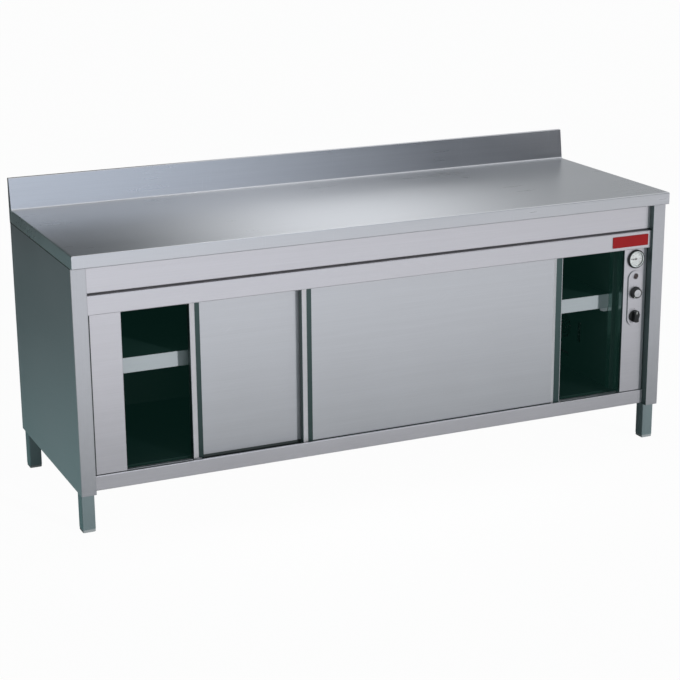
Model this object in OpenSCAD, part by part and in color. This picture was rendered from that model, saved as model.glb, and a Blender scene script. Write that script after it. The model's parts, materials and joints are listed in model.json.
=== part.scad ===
// Hot cupboard: folded steel casing on square legs, two hung sliding doors and a warm-air unit.
// Millimetres. X runs right along the front, Y runs back, Z runs up from the floor.

/* [Overall] */
// Length of the worktop
overall_w = 2000; // [1800:50:2400]
// Depth of the worktop
overall_d = 700; // [660:10:800]
// Height of the worktop above the floor
worktop_h = 850; // [800:5:950]
// Height of the upstand above the worktop
upstand_h = 100; // [60:5:150]
// Clear height under the casing
leg_h = 122; // [100:2:180]

/* [Sheet] */
// Thickness of the casing sheet
sheet_t = 1; // [0.8:0.1:1.5]
// Thickness of the worktop sheet
worktop_t = 1.5; // [1:0.1:2]
// Thickness of the door sheet
door_sheet = 1; // [0.8:0.1:1.2]
// Inner radius of a fold
bend_r = 1.5; // [0.6:0.1:2]
// Clearance between pieces that are fitted together
fit = 0.3; // [0.2:0.05:0.5]

/* [Worktop] */
// Height of the nose at the front and the sides
nose_h = 40; // [30:1:50]
// Width of the lip turned in under the nose
nose_lip = 15; // [10:1:18]
// Inner radius of the fold at the top of the nose
nose_r = 2.5; // [1.5:0.5:4]
// Radius of the cove at the foot of the upstand
cove_r = 6; // [3:0.5:10]
// Depth of the upstand at its foot
upstand_base = 28; // [22:1:40]
// Depth of the upstand at its top
upstand_cap = 13; // [10:1:18]
// Thickness of the board glued under the worktop
board_t = 18; // [12:1:22]

/* [Casing] */
// Distance of the casing front behind the worktop front
front_setback = 18; // [12:1:24]
// Distance of the casing back in front of the worktop back
rear_setback = 2; // [1:1:6]
// Gap between a post and the flange folded round it
post_clear = 1.7; // [1.2:0.1:8]
// Depth of the return behind the front flange
front_return = 36; // [32:1:42]
// Depth of the return behind the rear flange
rear_return = 36; // [24:1:42]
// Width of the stiffening lip at the top and the bottom of a side panel
side_lip = 20; // [12:1:30]
// Distance of the back panel in front of the casing back
back_recess = 23; // [16:1:30]
// Depth of the rim of the back panel
back_rim = 12; // [8:1:15]

/* [Legs] */
// Side of the square post
post_size = 40; // [30:1:40]
// Wall of the square post
post_wall = 1.5; // [1.2:0.1:2.5]
// Corner radius of the square post
post_r = 3; // [2.6:0.2:5]
// Distance of a post from the inner face of the side panel
post_gap = 2.3; // [1:0.1:2.6]
// Distance of a post behind the casing front and in front of the casing back
post_inset = 18; // [10:1:22]
// Height of a foot
foot_h = 9; // [7:1:14]
// Diameter of a foot stem
stem_d = 12; // [8:1:16]
// Length of a foot stem
stem_h = 56; // [50:1:70]
// Height of the plug in a post
plug_h = 20; // [12:1:24]
// Radial play of a shaft, pin or stem in its bore
play = 0.05; // [0.02:0.01:0.1]

/* [Front] */
// Height of the upper fascia
fascia_h = 83; // [70:1:95]
// Height of the slot under the upper fascia
slot_h = 5; // [3:0.5:8]
// Height of the door header
header_h = 58; // [54:1:70]
// Height of the bottom rail
rail_h = 46; // [42:1:60]
// Distance of the bottom rail above the casing underside
rail_lift = 3; // [1:1:8]
// Distance of the header behind the casing front
header_depth = 11; // [6:1:14]
// Distance of the upper fascia behind the casing front
fascia_depth = 20; // [14:1:26]
// Distance of the bottom rail behind the casing front
rail_depth = 22; // [18:1:24]
// Distance of the fixed panels behind the casing front
panel_depth = 28; // [26:0.5:29]
// Width of the infill panel at the left
infill_w = 105; // [80:1:140]
// Width of the control panel at the right
control_w = 88; // [84:1:100]
// Depth of the lips on the fascia and the bottom rail
front_lip = 14; // [8:1:16]
// Gap between the lip of the header and the fixed panels
header_gap = 3; // [1:0.5:6]
// Depth of the lips on the fixed panels
panel_lip = 8; // [5:0.5:9]

/* [Floor] */
// Width of the top of the bottom rail
rail_top_w = 8; // [7:0.5:9]
// Depth of the door trough below the rail top
trough_depth = 31; // [26:1:34]
// Distance of the floor below the rail top
floor_drop = 6; // [3:1:10]
// Height of the lip at the back of the floor
floor_lip = 20; // [10:1:30]
// Width of a floor stiffener
rib_w = 60; // [40:5:90]
// Height of a floor stiffener
rib_h = 24; // [15:1:30]
// Number of floor stiffeners
rib_count = 3; // [2:1:5]

/* [Doors] */
// Thickness of a door
door_t = 20; // [19:0.5:21]
// Gap between the two doors
door_gap = 4; // [3.5:0.5:6]
// Gap between the fixed panels and the front door
door_clear = 4; // [3:0.5:6]
// Lap of the two doors when both are closed
door_lap = 92; // [60:2:120]
// Lap of a closed door behind its fixed panel
panel_lap = 15; // [8:1:15]
// Distance that the left door stands open
left_open = 235; // [0:1:500]
// Distance that the right door stands open
right_open = 240; // [0:1:500]
// Width of the flat rim outside a finger grip
grip_rim = 2.5; // [2:0.5:5]
// Width of the outer slope of a finger grip
grip_outer = 17; // [12:0.5:20]
// Width of the inner slope of a finger grip
grip_inner = 13; // [10:0.5:18]
// Depth of a finger grip
grip_d = 8; // [6:0.5:11]
// Gap between a door and the bottom of its trough
door_lift = 12; // [8:1:14]
// Height of the folded edge inside a door
door_edge = 18; // [14:1:24]

/* [Door gear] */
// Radius of a roller
roller_r = 10; // [8:0.5:10.5]
// Width of a roller
roller_w = 7; // [5:0.5:7.5]
// Diameter of a roller axle
axle_d = 6; // [4:0.5:8]
// Distance of a hanger from the end of its door
hanger_in = 90; // [60:5:200]
// Length of the foot of a hanger
hanger_l = 60; // [40:2:90]
// Width of the upright of a hanger
upright_w = 36; // [26:1:40]
// Thickness of a hanger
hanger_t = 2.5; // [2:0.1:3]
// Thickness of the track walls
track_t = 2; // [1.6:0.1:2.2]
// Height of the lip on a track ledge
track_lip = 1.5; // [1:0.1:2]
// Gap between the foot of a hanger and the track above it
head_gap = 7.6; // [5:0.2:12]
// Length of a door stop in the track
stop_l = 22; // [12:1:30]
// Distance of a bottom guide inside the faces of its door
guide_side = 3; // [2.5:0.1:4.5]
// Distance that a bottom guide reaches into its door
guide_reach = 8; // [4:0.5:12]
// Play between a bottom guide and its door
guide_play = 0.7; // [0.5:0.1:1]

/* [Inside] */
// Distance of the left liner inside the posts
liner_gap = 11.7; // [8:0.1:25]
// Distance of the rear liner from the face of the back panel
rear_wall = 30; // [24:1:45]
// Width of the technical bay
bay_w = 132; // [124:1:150]
// Distance of the ceiling above the header
ceiling_rise = 11; // [8:1:16]
// Gap between the rear door and the inner pieces
inner_gap = 5; // [4:0.5:10]
// Thickness of the insulation slabs
wool_t = 22; // [15:1:22]
// Height of the shelf top above the cupboard floor
shelf_rise = 327; // [270:1:360]
// Height of the shelf lips
shelf_lip = 48; // [35:1:60]
// Distance of the shelf behind the inner front
shelf_setback = 22; // [10:1:60]
// Distance of the shelf from the rear liner
shelf_gap = 8; // [4:1:30]
// Length of the arm of a shelf bracket
bracket_arm = 30; // [20:1:40]
// Height of a shelf bracket
bracket_h = 12; // [8:1:16]
// Width of a shelf bracket
bracket_w = 28; // [20:1:40]

/* [Warm-air unit] */
// Place of the fan axis along the depth
fan_y = 60; // [20:5:80]
// Height of the fan axis above the cupboard floor
fan_rise = 147; // [136:1:180]
// Height of the fan blades
blade_h = 24; // [18:1:28]
// Number of fan blades
blade_count = 16; // [8:1:24]
// Depth of the fan chamber
chamber_d = 46; // [42:1:48]
// Side of the fan chamber
chamber_w = 224; // [190:2:250]
// Distance of the heating ring from the chamber wall
ring_gap = 20; // [16:1:26]
// Distance of the fan wheel inside the heating ring
fan_gap = 22; // [16:1:30]
// Diameter of the heating tube
tube_d = 8.5; // [6:0.5:10]
// Diameter of the fan motor
motor_d = 76; // [60:2:90]
// Length of the fan motor
motor_l = 58; // [40:1:60]
// Diameter of the fan shaft
shaft_d = 8; // [6:1:10]
// Diameter of the holes of the air inlet
inlet_d = 9; // [6:0.5:10]
// Length of the slots of the air outlets
outlet_l = 70; // [50:5:80]
// Width of the slots of the air outlets
outlet_w = 6; // [4:0.5:7]

/* [Controls] */
// Gap between the header and the thermometer
gauge_gap = 6; // [4:1:10]
// Radius of the thermometer case
case_r = 26.5; // [22:0.5:28]
// Depth of the thermometer case behind the panel
case_d = 18; // [14:1:24]
// Height of the rim of the case in front of the panel
case_rim = 4; // [3.4:0.1:6]
// Thickness of the thermometer glass
glass_t = 1.6; // [1.2:0.1:2.5]
// Width of the bezel outside the case
bezel_w = 4.5; // [3.5:0.5:6]
// Thickness of the bezel in front of the glass
bezel_lip = 2.3; // [1.8:0.1:4]
// Distance of the tip of the needle from the edge of the case
needle_gap = 6.5; // [5:0.5:12]
// Gap between the thermometer and the control plate
plate_gap = 8; // [4:1:14]
// Width of the control plate
plate_w = 54; // [48:1:58]
// Thickness of the control plate
plate_t = 4; // [3:0.5:6]
// Distance of the pilot lamp below the top of the control plate
lamp_in = 19; // [16:1:26]
// Distance of the thermostat below the pilot lamp
lamp_step = 55; // [42:1:70]
// Distance of the switch below the thermostat
knob_step = 80; // [60:1:100]
// Distance of the switch above the bottom of the control plate
switch_in = 34; // [27:1:45]
// Diameter of the pilot lamp head
lamp_d = 17; // [15:0.5:20]
// Diameter of a knob
knob_d = 40; // [36:1:44]
// Height of a knob
knob_h = 17; // [15:1:22]
// Diameter of the cap on the thermostat knob
cap_d = 26; // [18:1:27]
// Width of the grip on the switch knob
grip_bar_w = 16; // [12:1:20]
// Diameter of a control spindle
spindle_d = 6; // [4:0.5:6]
// Side of the thermostat and switch bodies
switch_body_w = 40; // [34:1:44]
// Depth of the thermostat and switch bodies
switch_body_d = 32; // [25:1:36]

/* [Supply] */
// Distance of the cable gland from the outside
gland_in = 80; // [66:1:95]
// Height of the cable gland above the casing underside
gland_rise = 108; // [95:1:150]
// Bore of the cable gland
gland_bore = 10; // [8:0.5:12]
// Diameter of the cable gland thread
gland_d = 20; // [17:1:24]
// Distance of the lowest vent slot above the cable gland
vent_rise = 160; // [60:5:300]
// Number of vent slots in the back panel
vent_count = 8; // [3:1:12]
// Length of a vent slot
vent_l = 60; // [40:5:70]
// Height of a vent slot
vent_h = 5; // [3:0.5:6]

/* [Hidden] */
$fn = 64;
bend_steps = 4;
hw = overall_w / 2;
front_y = -overall_d / 2;
back_y = overall_d / 2;
top_z = worktop_h + upstand_h;
foot_line = back_y - upstand_base;
case_top = worktop_h - nose_h;
case_front = front_y + front_setback;
case_back = back_y - rear_setback;
flange_w = post_gap + post_size + post_clear + 2 * sheet_t;
flange_x = hw - flange_w;
body_x = flange_x - fit;

// Posts and feet
post_x = hw - sheet_t - post_gap - post_size / 2;
post_in = post_x - post_size / 2;
post_front = case_front + post_inset + post_size / 2;
post_back = case_back - post_inset - post_size / 2;
post_z0 = foot_h + fit;
plug_z0 = post_z0 + 6;

// Front stack, from the nose down and from the floor up
fascia_z1 = case_top - fit;
fascia_z0 = case_top - fascia_h;
header_z1 = fascia_z0 - slot_h;
header_z0 = header_z1 - header_h;
rail_z0 = leg_h + rail_lift;
rail_top = rail_z0 + rail_h;
trough_z = rail_top - trough_depth;
floor_z = rail_top - floor_drop;
ceiling_z = header_z1 + ceiling_rise;
rail_front = case_front + rail_depth;
panel_front = case_front + panel_depth;
panel_z0 = rail_top + 2;
header_lip = panel_depth - header_depth - header_gap;
trough_front = rail_front + rail_top_w;
seam_z = rail_z0 + sheet_t + 2;

// Doors
opening_x0 = -flange_x + infill_w;
opening_x1 = flange_x - control_w;
door_w = (opening_x1 - opening_x0 + 2 * panel_lap + door_lap) / 2;
front_door_y = panel_front + panel_lip + door_clear;
rear_door_y = front_door_y + door_t + door_gap;
left_door_x = opening_x0 - panel_lap + left_open;
right_door_x = opening_x1 + panel_lap - right_open - door_w;
door_z0 = trough_z + door_lift;
grip_valley = grip_rim + grip_outer;
grip_end = grip_valley + grip_inner;
grip_zone = grip_end + door_sheet + fit;

// Door gear, as distances behind the face of its door
hanger_y = 4.5;
roller_y = hanger_y + hanger_t + 3.5;
ledge_y = roller_y - 1;
web_y = roller_y + roller_w + 1.5;
track_z1 = header_z1 - sheet_t - fit;
roller_z = track_z1 - track_t - 2 - roller_r;
ledge_z = roller_z - roller_r - fit;
door_z1 = ledge_z - track_t - head_gap - hanger_t - fit;
guide_w = door_t - 2 * guide_side;

// Inside
cavity_front = rear_door_y + door_t + inner_gap;
inner_front = cavity_front + 2 * (sheet_t + fit) + bend_r;
back_face = case_back - back_recess;
back_in = back_face - sheet_t;
floor_back = back_in - sheet_t - fit;
rear_liner_y = back_face - rear_wall;
left_liner_x = liner_gap - post_in;
bay_x = hw - bay_w;
wall_z0 = floor_z + fit;
wall_z1 = ceiling_z - sheet_t - fit;
shelf_z = floor_z + shelf_rise;
shelf_front = inner_front + shelf_setback;
shelf_back = rear_liner_y - shelf_gap;
shelf_x0 = left_liner_x + fit;
shelf_x1 = bay_x - fit;
shelf_z0 = shelf_z - shelf_lip;

// Warm-air unit
fan_z = floor_z + fan_rise;
ring_r = chamber_w / 2 - ring_gap;
fan_r = ring_r - fan_gap;
chamber_x0 = bay_x + sheet_t + fit;
chamber_x1 = bay_x + sheet_t + chamber_d;
motor_x0 = chamber_x1 + sheet_t + fit;
wheel_x0 = chamber_x0 + 8;
ring_x = chamber_x0 + tube_d / 2 + 12;
hub_r = 12;

// Controls, from the header down
control_x = (opening_x1 + flange_x) / 2;
bezel_r = case_r + bezel_w;
gauge_z = header_z0 - gauge_gap - bezel_r;
plate_z1 = gauge_z - bezel_r - plate_gap;
lamp_z = plate_z1 - lamp_in;
thermostat_z = lamp_z - lamp_step;
switch_z = thermostat_z - knob_step;
plate_z = switch_z - switch_in;
plate_h = plate_z1 - plate_z;
glass_z = case_rim + fit;
bezel_seat = glass_z + glass_t + fit;
bezel_h = bezel_seat + bezel_lip;
needle_l = case_r - needle_gap;
plate_front = panel_front - plate_t;
knob_back = plate_front - 0.6;
bush_d = spindle_d + 4;
lamp_body_d = lamp_d - 3;

// Supply
gland_z = leg_h + gland_rise;

// Folded sheet: a path of corners [a, b] or [a, b, inner radius], with the sheet on its right

function unit(v) = v / norm(v);
function left_of(v) = [-v[1], v[0]];
function turned(v, angle) = [v[0] * cos(angle) - v[1] * sin(angle), v[0] * sin(angle) + v[1] * cos(angle)];
function spot(p) = [p[0], p[1]];
function fold_r(p) = len(p) > 2 ? p[2] : bend_r;
function turn_of(u, v) = atan2(u[0] * v[1] - u[1] * v[0], u * v);

// Points of one fold on the face of the sheet, or on its far side
function fold_points(a, b, c, t, far) =
    let (u = unit(spot(b) - spot(a)),
         v = unit(spot(c) - spot(b)),
         turn = turn_of(u, v),
         side = turn < 0 ? -1 : 1,
         face_r = fold_r(b) + (turn < 0 ? t : 0),
         radius = far ? face_r + side * t : face_r,
         start = spot(b) - u * face_r * tan(abs(turn) / 2),
         centre = start + left_of(u) * side * face_r)
    [for (k = [0 : bend_steps]) centre - turned(left_of(u) * side * radius, turn * k / bend_steps)];

function end_point(p, along, t, far) = spot(p) - (far ? left_of(along) * t : [0, 0]);

function sheet_side(path, t, far) =
    let (last = len(path) - 1)
    [for (i = [0 : last]) each
        i == 0 ? [end_point(path[0], unit(spot(path[1]) - spot(path[0])), t, far)]
        : i == last ? [end_point(path[last], unit(spot(path[last]) - spot(path[last - 1])), t, far)]
        : fold_points(path[i - 1], path[i], path[i + 1], t, far)];

function backwards(list) = [for (i = [len(list) - 1 : -1 : 0]) list[i]];
function sheet_outline(path, t) = concat(sheet_side(path, t, false), backwards(sheet_side(path, t, true)));

// Square outline with rounded corners, centred
function round_square(w, r) =
    [for (q = [0 : 3]) for (k = [0 : bend_steps])
        let (a = 90 * q + 90 * k / bend_steps, c = w / 2 - r, s = [[1, 1], [-1, 1], [-1, -1], [1, -1]][q])
        s * c + r * [cos(a), sin(a)]];

// A YZ outline run along X
module along_x(x, length, points) {
    translate([x, 0, 0]) rotate([90, 0, 90]) linear_extrude(length) polygon(points);
}

// An XZ outline run along Y
module along_y(y, length, points) {
    translate([0, y + length, 0]) rotate([90, 0, 0]) linear_extrude(length) polygon(points);
}

// An XY outline run along Z
module along_z(z, length, points) {
    translate([0, 0, z]) linear_extrude(length) polygon(points);
}

// Children turned about the Z axis stand on the front face at [x, z], with their Z towards the user
module on_front(x, y, z) {
    translate([x, y, z]) rotate([90, 0, 0]) children();
}

// Children turned about the Z axis lie along X
module on_x_axis(x) {
    translate([x, fan_y, fan_z]) rotate([0, 90, 0]) children();
}

// Worktop

worktop_path = [[front_y + nose_lip, case_top], [front_y, case_top], [front_y, worktop_h, nose_r],
                [foot_line, worktop_h, cove_r], [back_y - upstand_cap, top_z], [back_y, top_z],
                [back_y, case_top]];

module worktop_end() {
    edge_r = nose_r + worktop_t;
    difference() {
        union() {
            along_x(-hw, worktop_t, sheet_side(worktop_path, worktop_t, false));
            translate([-hw + worktop_t / 2, front_y + edge_r, case_top])
                cube([nose_lip - worktop_t / 2, overall_d - 2 * edge_r, worktop_t]);
        }
        worktop_edge_cut(edge_r);
    }
}

// Rounding of the top edge over a side nose
module worktop_edge_cut(edge_r) {
    translate([-hw, foot_line - cove_r, worktop_h]) rotate([90, 0, 0])
        linear_extrude(overall_d) difference() {
            translate([-edge_r, -edge_r]) square(2 * edge_r);
            translate([edge_r, -edge_r]) circle(edge_r);
            translate([edge_r, -2 * edge_r]) square([edge_r, 4 * edge_r]);
        }
}

module worktop() {
    color("silver") {
        difference() {
            along_x(-hw, overall_w, sheet_outline(worktop_path, worktop_t));
            worktop_edge_cut(nose_r + worktop_t);
            mirror([1, 0, 0]) worktop_edge_cut(nose_r + worktop_t);
        }
        worktop_end();
        mirror([1, 0, 0]) worktop_end();
    }
}

module worktop_board() {
    board_x = hw - nose_lip - 5;
    board_y = front_y + nose_lip + 5;
    color("burlywood")
        translate([-board_x, board_y, worktop_h - worktop_t - fit - board_t])
            cube([2 * board_x, foot_line - cove_r - 5 - board_y, board_t]);
}

// Posts and feet

module at_post(side, y) {
    translate([side * post_x, y, 0]) children();
}

module corner_posts() {
    color("gray")
        for (side = [-1, 1], y = [post_front, post_back])
            at_post(side, y) translate([0, 0, post_z0])
                linear_extrude(case_top - fit - post_z0) difference() {
                    polygon(round_square(post_size, post_r));
                    polygon(round_square(post_size - 2 * post_wall, post_r - post_wall));
                }
}

module post_plugs() {
    color("dimgray")
        for (side = [-1, 1], y = [post_front, post_back])
            at_post(side, y) translate([0, 0, plug_z0])
                difference() {
                    linear_extrude(plug_h)
                        polygon(round_square(post_size - 2 * (post_wall + fit), post_r - post_wall));
                    translate([0, 0, -1]) cylinder(d = stem_d + 2 * play, h = plug_h + 2);
                }
}

module foot(side, y) {
    color("darkgray")
        at_post(side, y) {
            linear_extrude(foot_h / 6) polygon(round_square(post_size - 4, post_r - 1));
            translate([0, 0, foot_h / 6])
                linear_extrude(foot_h * 5 / 6) polygon(round_square(post_size - 1, post_r));
            translate([0, 0, foot_h - 1]) cylinder(d = stem_d, h = stem_h);
        }
}

module front_left_foot() { foot(-1, post_front); }
module front_right_foot() { foot(1, post_front); }
module rear_left_foot() { foot(-1, post_back); }
module rear_right_foot() { foot(1, post_back); }

// Casing

module side_panel() {
    path = [[-flange_x, case_front + front_return], [-flange_x, case_front], [-hw, case_front],
            [-hw, case_back], [-flange_x, case_back], [-flange_x, case_back - rear_return]];
    lip_y0 = post_front + post_size / 2 + 4;
    lip_y1 = post_back - post_size / 2 - 4;
    color("darkgray") {
        along_z(leg_h, case_top - fit - leg_h, sheet_outline(path, sheet_t));
        for (z = [leg_h, case_top - fit - sheet_t])
            translate([-hw + sheet_t / 2, lip_y0, z])
                cube([side_lip - sheet_t / 2, lip_y1 - lip_y0, sheet_t]);
    }
}

module left_side_panel() { side_panel(); }
module right_side_panel() { mirror([1, 0, 0]) side_panel(); }

module back_panel() {
    edge = body_x - sheet_t;
    path = [[-edge, back_face + back_rim], [-edge, back_face], [edge, back_face],
            [edge, back_face + back_rim]];
    color("darkgray")
        difference() {
            along_z(rail_z0, case_top - fit - rail_z0, sheet_outline(path, sheet_t));
            translate([hw - gland_in, back_face + 1, gland_z]) rotate([90, 0, 0])
                cylinder(d = gland_d + 2 * fit, h = 2 * sheet_t + 2);
            for (k = [0 : vent_count - 1])
                translate([hw - gland_in - vent_l / 2, back_in - 1, gland_z + vent_rise + 3 * vent_h * k])
                    cube([vent_l, sheet_t + 2, vent_h]);
        }
}

module bottom_rail() {
    path = [[rail_front + front_lip, rail_z0], [rail_front, rail_z0], [rail_front, rail_top],
            [trough_front, rail_top], [trough_front, seam_z]];
    color("silver") along_x(-body_x, 2 * body_x, sheet_outline(path, sheet_t));
}

// Strip that the bottom guides stand on, with its edges turned down to the rail and the pan
module door_trough() {
    y0 = trough_front + fit;
    y1 = cavity_front - fit;
    path = [[y0, seam_z], [y0, trough_z], [y1, trough_z], [y1, seam_z]];
    color("silver") along_x(-body_x, 2 * body_x, sheet_outline(path, sheet_t));
}

module base_pan() {
    path = [[cavity_front, seam_z], [cavity_front, floor_z], [floor_back, floor_z],
            [floor_back, floor_z + floor_lip]];
    color("silver") along_x(-body_x, 2 * body_x, sheet_outline(path, sheet_t));
}

module floor_stiffeners() {
    z1 = floor_z - sheet_t - fit;
    y0 = cavity_front + 2 * sheet_t + 6;
    color("darkgray")
        for (k = [0 : rib_count - 1]) {
            x = -hw + overall_w * (k + 1) / (rib_count + 1);
            along_y(y0, back_in - 20 - y0, sheet_outline(
                [[x - rib_w / 2, z1 - rib_h], [x - rib_w / 2, z1], [x + rib_w / 2, z1],
                 [x + rib_w / 2, z1 - rib_h]], sheet_t));
        }
}

module upper_fascia() {
    y = case_front + fascia_depth;
    path = [[y + front_lip, fascia_z0], [y, fascia_z0], [y, fascia_z1], [y + front_lip, fascia_z1]];
    color("lightgray") along_x(-body_x, 2 * body_x, sheet_outline(path, sheet_t));
}

module door_header() {
    y = case_front + header_depth;
    path = [[y + header_lip, header_z0], [y, header_z0], [y, header_z1], [cavity_front, header_z1],
            [cavity_front, ceiling_z]];
    color("lightgray") along_x(-body_x, 2 * body_x, sheet_outline(path, sheet_t));
}

// Outline of one track channel, hung from the top plate, for a door whose face is at y
function channel(y) =
    [[y + web_y, track_z1 - track_t], [y + web_y, ledge_z], [y + ledge_y, ledge_z],
     [y + ledge_y, ledge_z + track_lip], [y + ledge_y - 1, ledge_z + track_lip],
     [y + ledge_y - 1, ledge_z - track_t], [y + web_y + track_t, ledge_z - track_t],
     [y + web_y + track_t, track_z1 - track_t]];

module top_track() {
    plate_y0 = front_door_y - 8;
    plate_y1 = rear_door_y + web_y + track_t;
    color("gainsboro")
        along_x(-body_x, 2 * body_x, concat(
            [[plate_y0, track_z1], [plate_y0, track_z1 - track_t]],
            channel(front_door_y), channel(rear_door_y), [[plate_y1, track_z1]]));
}

// A rubber block at each end of both channels, which meets the upright of a hanger
module track_stops() {
    reach = hanger_in - upright_w / 2 - fit;
    z1 = track_z1 - track_t - fit;
    z0 = roller_z - roller_r / 2;
    low = opening_x0 - panel_lap + reach;
    high = opening_x1 + panel_lap - reach;
    color("black")
        for (y = [front_door_y, rear_door_y], x = [low - stop_l, high])
            translate([x, y + hanger_y - 1, z0]) cube([stop_l, hanger_t + 2, z1 - z0]);
}

module bottom_guides() {
    z1 = door_z0 + guide_reach;
    color("silver")
        for (y = [front_door_y + guide_side, rear_door_y + guide_side])
            along_x(-body_x, 2 * body_x, sheet_outline(
                [[y, trough_z + fit], [y, z1], [y + guide_w, z1], [y + guide_w, trough_z + fit]], sheet_t));
}

module fixed_panel(x0, x1) {
    path = [[x1, panel_front + panel_lip], [x1, panel_front], [x0, panel_front],
            [x0, panel_front + panel_lip]];
    along_z(panel_z0, door_z1 - panel_z0, sheet_outline(path, sheet_t));
}

module left_infill_panel() {
    color("lightgray") fixed_panel(-body_x, opening_x0);
}

module control_panel() {
    color("lightgray")
        difference() {
            fixed_panel(opening_x1, body_x);
            for (hole = [[gauge_z, case_r], [lamp_z, lamp_body_d / 2], [thermostat_z, bush_d / 2],
                         [switch_z, bush_d / 2]])
                on_front(control_x, panel_front + sheet_t + 1, hole[0])
                    cylinder(r = hole[1] + fit, h = sheet_t + 2);
        }
}

// Inside

module ceiling_panel() {
    y = cavity_front + sheet_t + fit;
    path = [[y, ceiling_z - ceiling_rise], [y, ceiling_z], [back_in - fit, ceiling_z]];
    color("silver") along_x(-body_x, 2 * body_x, sheet_outline(path, sheet_t));
}

module left_liner() {
    flange = liner_gap - fit;
    path = [[left_liner_x - flange, rear_liner_y - fit], [left_liner_x, rear_liner_y - fit],
            [left_liner_x, inner_front], [left_liner_x - flange, inner_front]];
    color("silver") along_z(wall_z0, wall_z1 - wall_z0, sheet_outline(path, sheet_t));
}

module rear_liner() {
    lip = rear_wall / 2;
    path = [[rear_liner_y + lip, wall_z0], [rear_liner_y, wall_z0], [rear_liner_y, wall_z1],
            [rear_liner_y + lip, wall_z1]];
    color("silver")
        along_x(left_liner_x + fit, bay_x - left_liner_x - 2 * fit, sheet_outline(path, sheet_t));
}

// Air inlet and outlets in the partition, as cutters along X
module air_holes() {
    on_x_axis(bay_x - 1) {
        for (ring = [0 : 3], k = [0 : max(0, 6 * ring - 1)])
            rotate(360 * k / max(1, 6 * ring)) translate([13 * ring, 0, 0])
                cylinder(d = inlet_d, h = sheet_t + 2);
        for (quarter = [0 : 3], row = [-1, 1])
            rotate(90 * quarter)
                translate([(chamber_w / 2 + ring_r) / 2 - outlet_w + row * outlet_w * 0.8, -outlet_l / 2, 0])
                    cube([outlet_w, outlet_l, sheet_t + 2]);
    }
}

module bay_partition() {
    flange = 20;
    path = [[bay_x + flange, inner_front], [bay_x, inner_front], [bay_x, floor_back - bend_r],
            [bay_x + flange, floor_back - bend_r]];
    color("silver")
        difference() {
            along_z(wall_z0, wall_z1 - wall_z0, sheet_outline(path, sheet_t));
            air_holes();
        }
}

module insulation() {
    left_y0 = inner_front + sheet_t + bend_r;
    left_y1 = min(rear_liner_y - sheet_t - 2 * fit, post_back - post_size / 2) - fit;
    slab_z0 = wall_z0 + sheet_t + bend_r;
    slab_h = wall_z1 - sheet_t - bend_r - slab_z0;
    top_x = body_x - side_lip;
    top_y = cavity_front + sheet_t + fit + bend_r + sheet_t;
    color("khaki") {
        translate([left_liner_x - sheet_t - fit - wool_t, left_y0, slab_z0])
            cube([wool_t, left_y1 - left_y0, slab_h]);
        translate([left_liner_x + fit, rear_liner_y + sheet_t + fit, slab_z0 + floor_lip])
            cube([bay_x - left_liner_x - 2 * fit, wool_t, slab_h - floor_lip]);
        translate([-top_x, top_y, ceiling_z + fit])
            cube([2 * top_x, floor_back - top_y, wool_t]);
    }
}

module middle_shelf() {
    lip = 15;
    path = [[shelf_front + lip, shelf_z0], [shelf_front, shelf_z0], [shelf_front, shelf_z],
            [shelf_back, shelf_z], [shelf_back, shelf_z0], [shelf_back - lip, shelf_z0]];
    color("gainsboro") {
        along_x(shelf_x0, shelf_x1 - shelf_x0, sheet_outline(path, sheet_t));
        for (x = [shelf_x0, shelf_x1 - sheet_t])
            along_x(x, sheet_t, sheet_side(path, sheet_t, false));
    }
}

// An arm under the shelf with a leaf on the wall at x and a web under its front edge
module shelf_bracket(x, inward, y) {
    t = 2;
    z1 = shelf_z0 - fit;
    wall = x + inward * fit;
    tip = wall + inward * bracket_arm;
    translate([min(wall, tip), y, z1 - t]) cube([bracket_arm, bracket_w, t]);
    translate([min(wall, wall + inward * t), y, z1 - bracket_h]) cube([t, bracket_w, bracket_h]);
    along_y(y, t, [[wall, z1 - bracket_h], [wall, z1], [tip, z1], [tip, z1 - bracket_h / 2],
                   [tip - inward * bracket_arm / 2, z1 - bracket_h]]);
}

module shelf_brackets() {
    color("silver")
        for (y = [shelf_front + 4, shelf_back - bracket_w - 4]) {
            shelf_bracket(left_liner_x, 1, y);
            shelf_bracket(bay_x, -1, y);
        }
}

// Warm-air unit

module fan_plate() {
    foot_w = 18;
    y0 = fan_y - chamber_w / 2;
    y1 = fan_y + chamber_w / 2;
    path = [[chamber_x0, y0 - foot_w], [chamber_x0, y0], [chamber_x1, y0], [chamber_x1, y1],
            [chamber_x0, y1], [chamber_x0, y1 + foot_w]];
    color("gray")
        difference() {
            along_z(fan_z - chamber_w / 2, chamber_w, sheet_outline(path, sheet_t));
            on_x_axis(chamber_x1 - 1) cylinder(r = hub_r + 2, h = sheet_t + 2);
            for (angle = [15, -15])
                on_x_axis(chamber_x1 - 1) rotate(angle) translate([ring_r, 0, 0])
                    cylinder(d = tube_d + 2 * fit, h = sheet_t + 2);
        }
}

module fan_motor() {
    bearing = 20;
    color("slategray")
        difference() {
            union() {
                on_x_axis(motor_x0) cylinder(d = motor_d + 14, h = 3);
                on_x_axis(motor_x0) rotate_extrude()
                    polygon([[0, 0], [motor_d / 2, 0], [motor_d / 2, motor_l - 6],
                             [motor_d / 2 - 6, motor_l], [0, motor_l]]);
                for (k = [0 : 11])
                    on_x_axis(motor_x0) rotate(30 * k) translate([motor_d / 2 - 2, -1.5, 0])
                        cube([5, 3, motor_l - 12]);
            }
            on_x_axis(motor_x0 - 1) cylinder(d = shaft_d + 2 * play, h = bearing + 1);
        }
}

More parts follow.
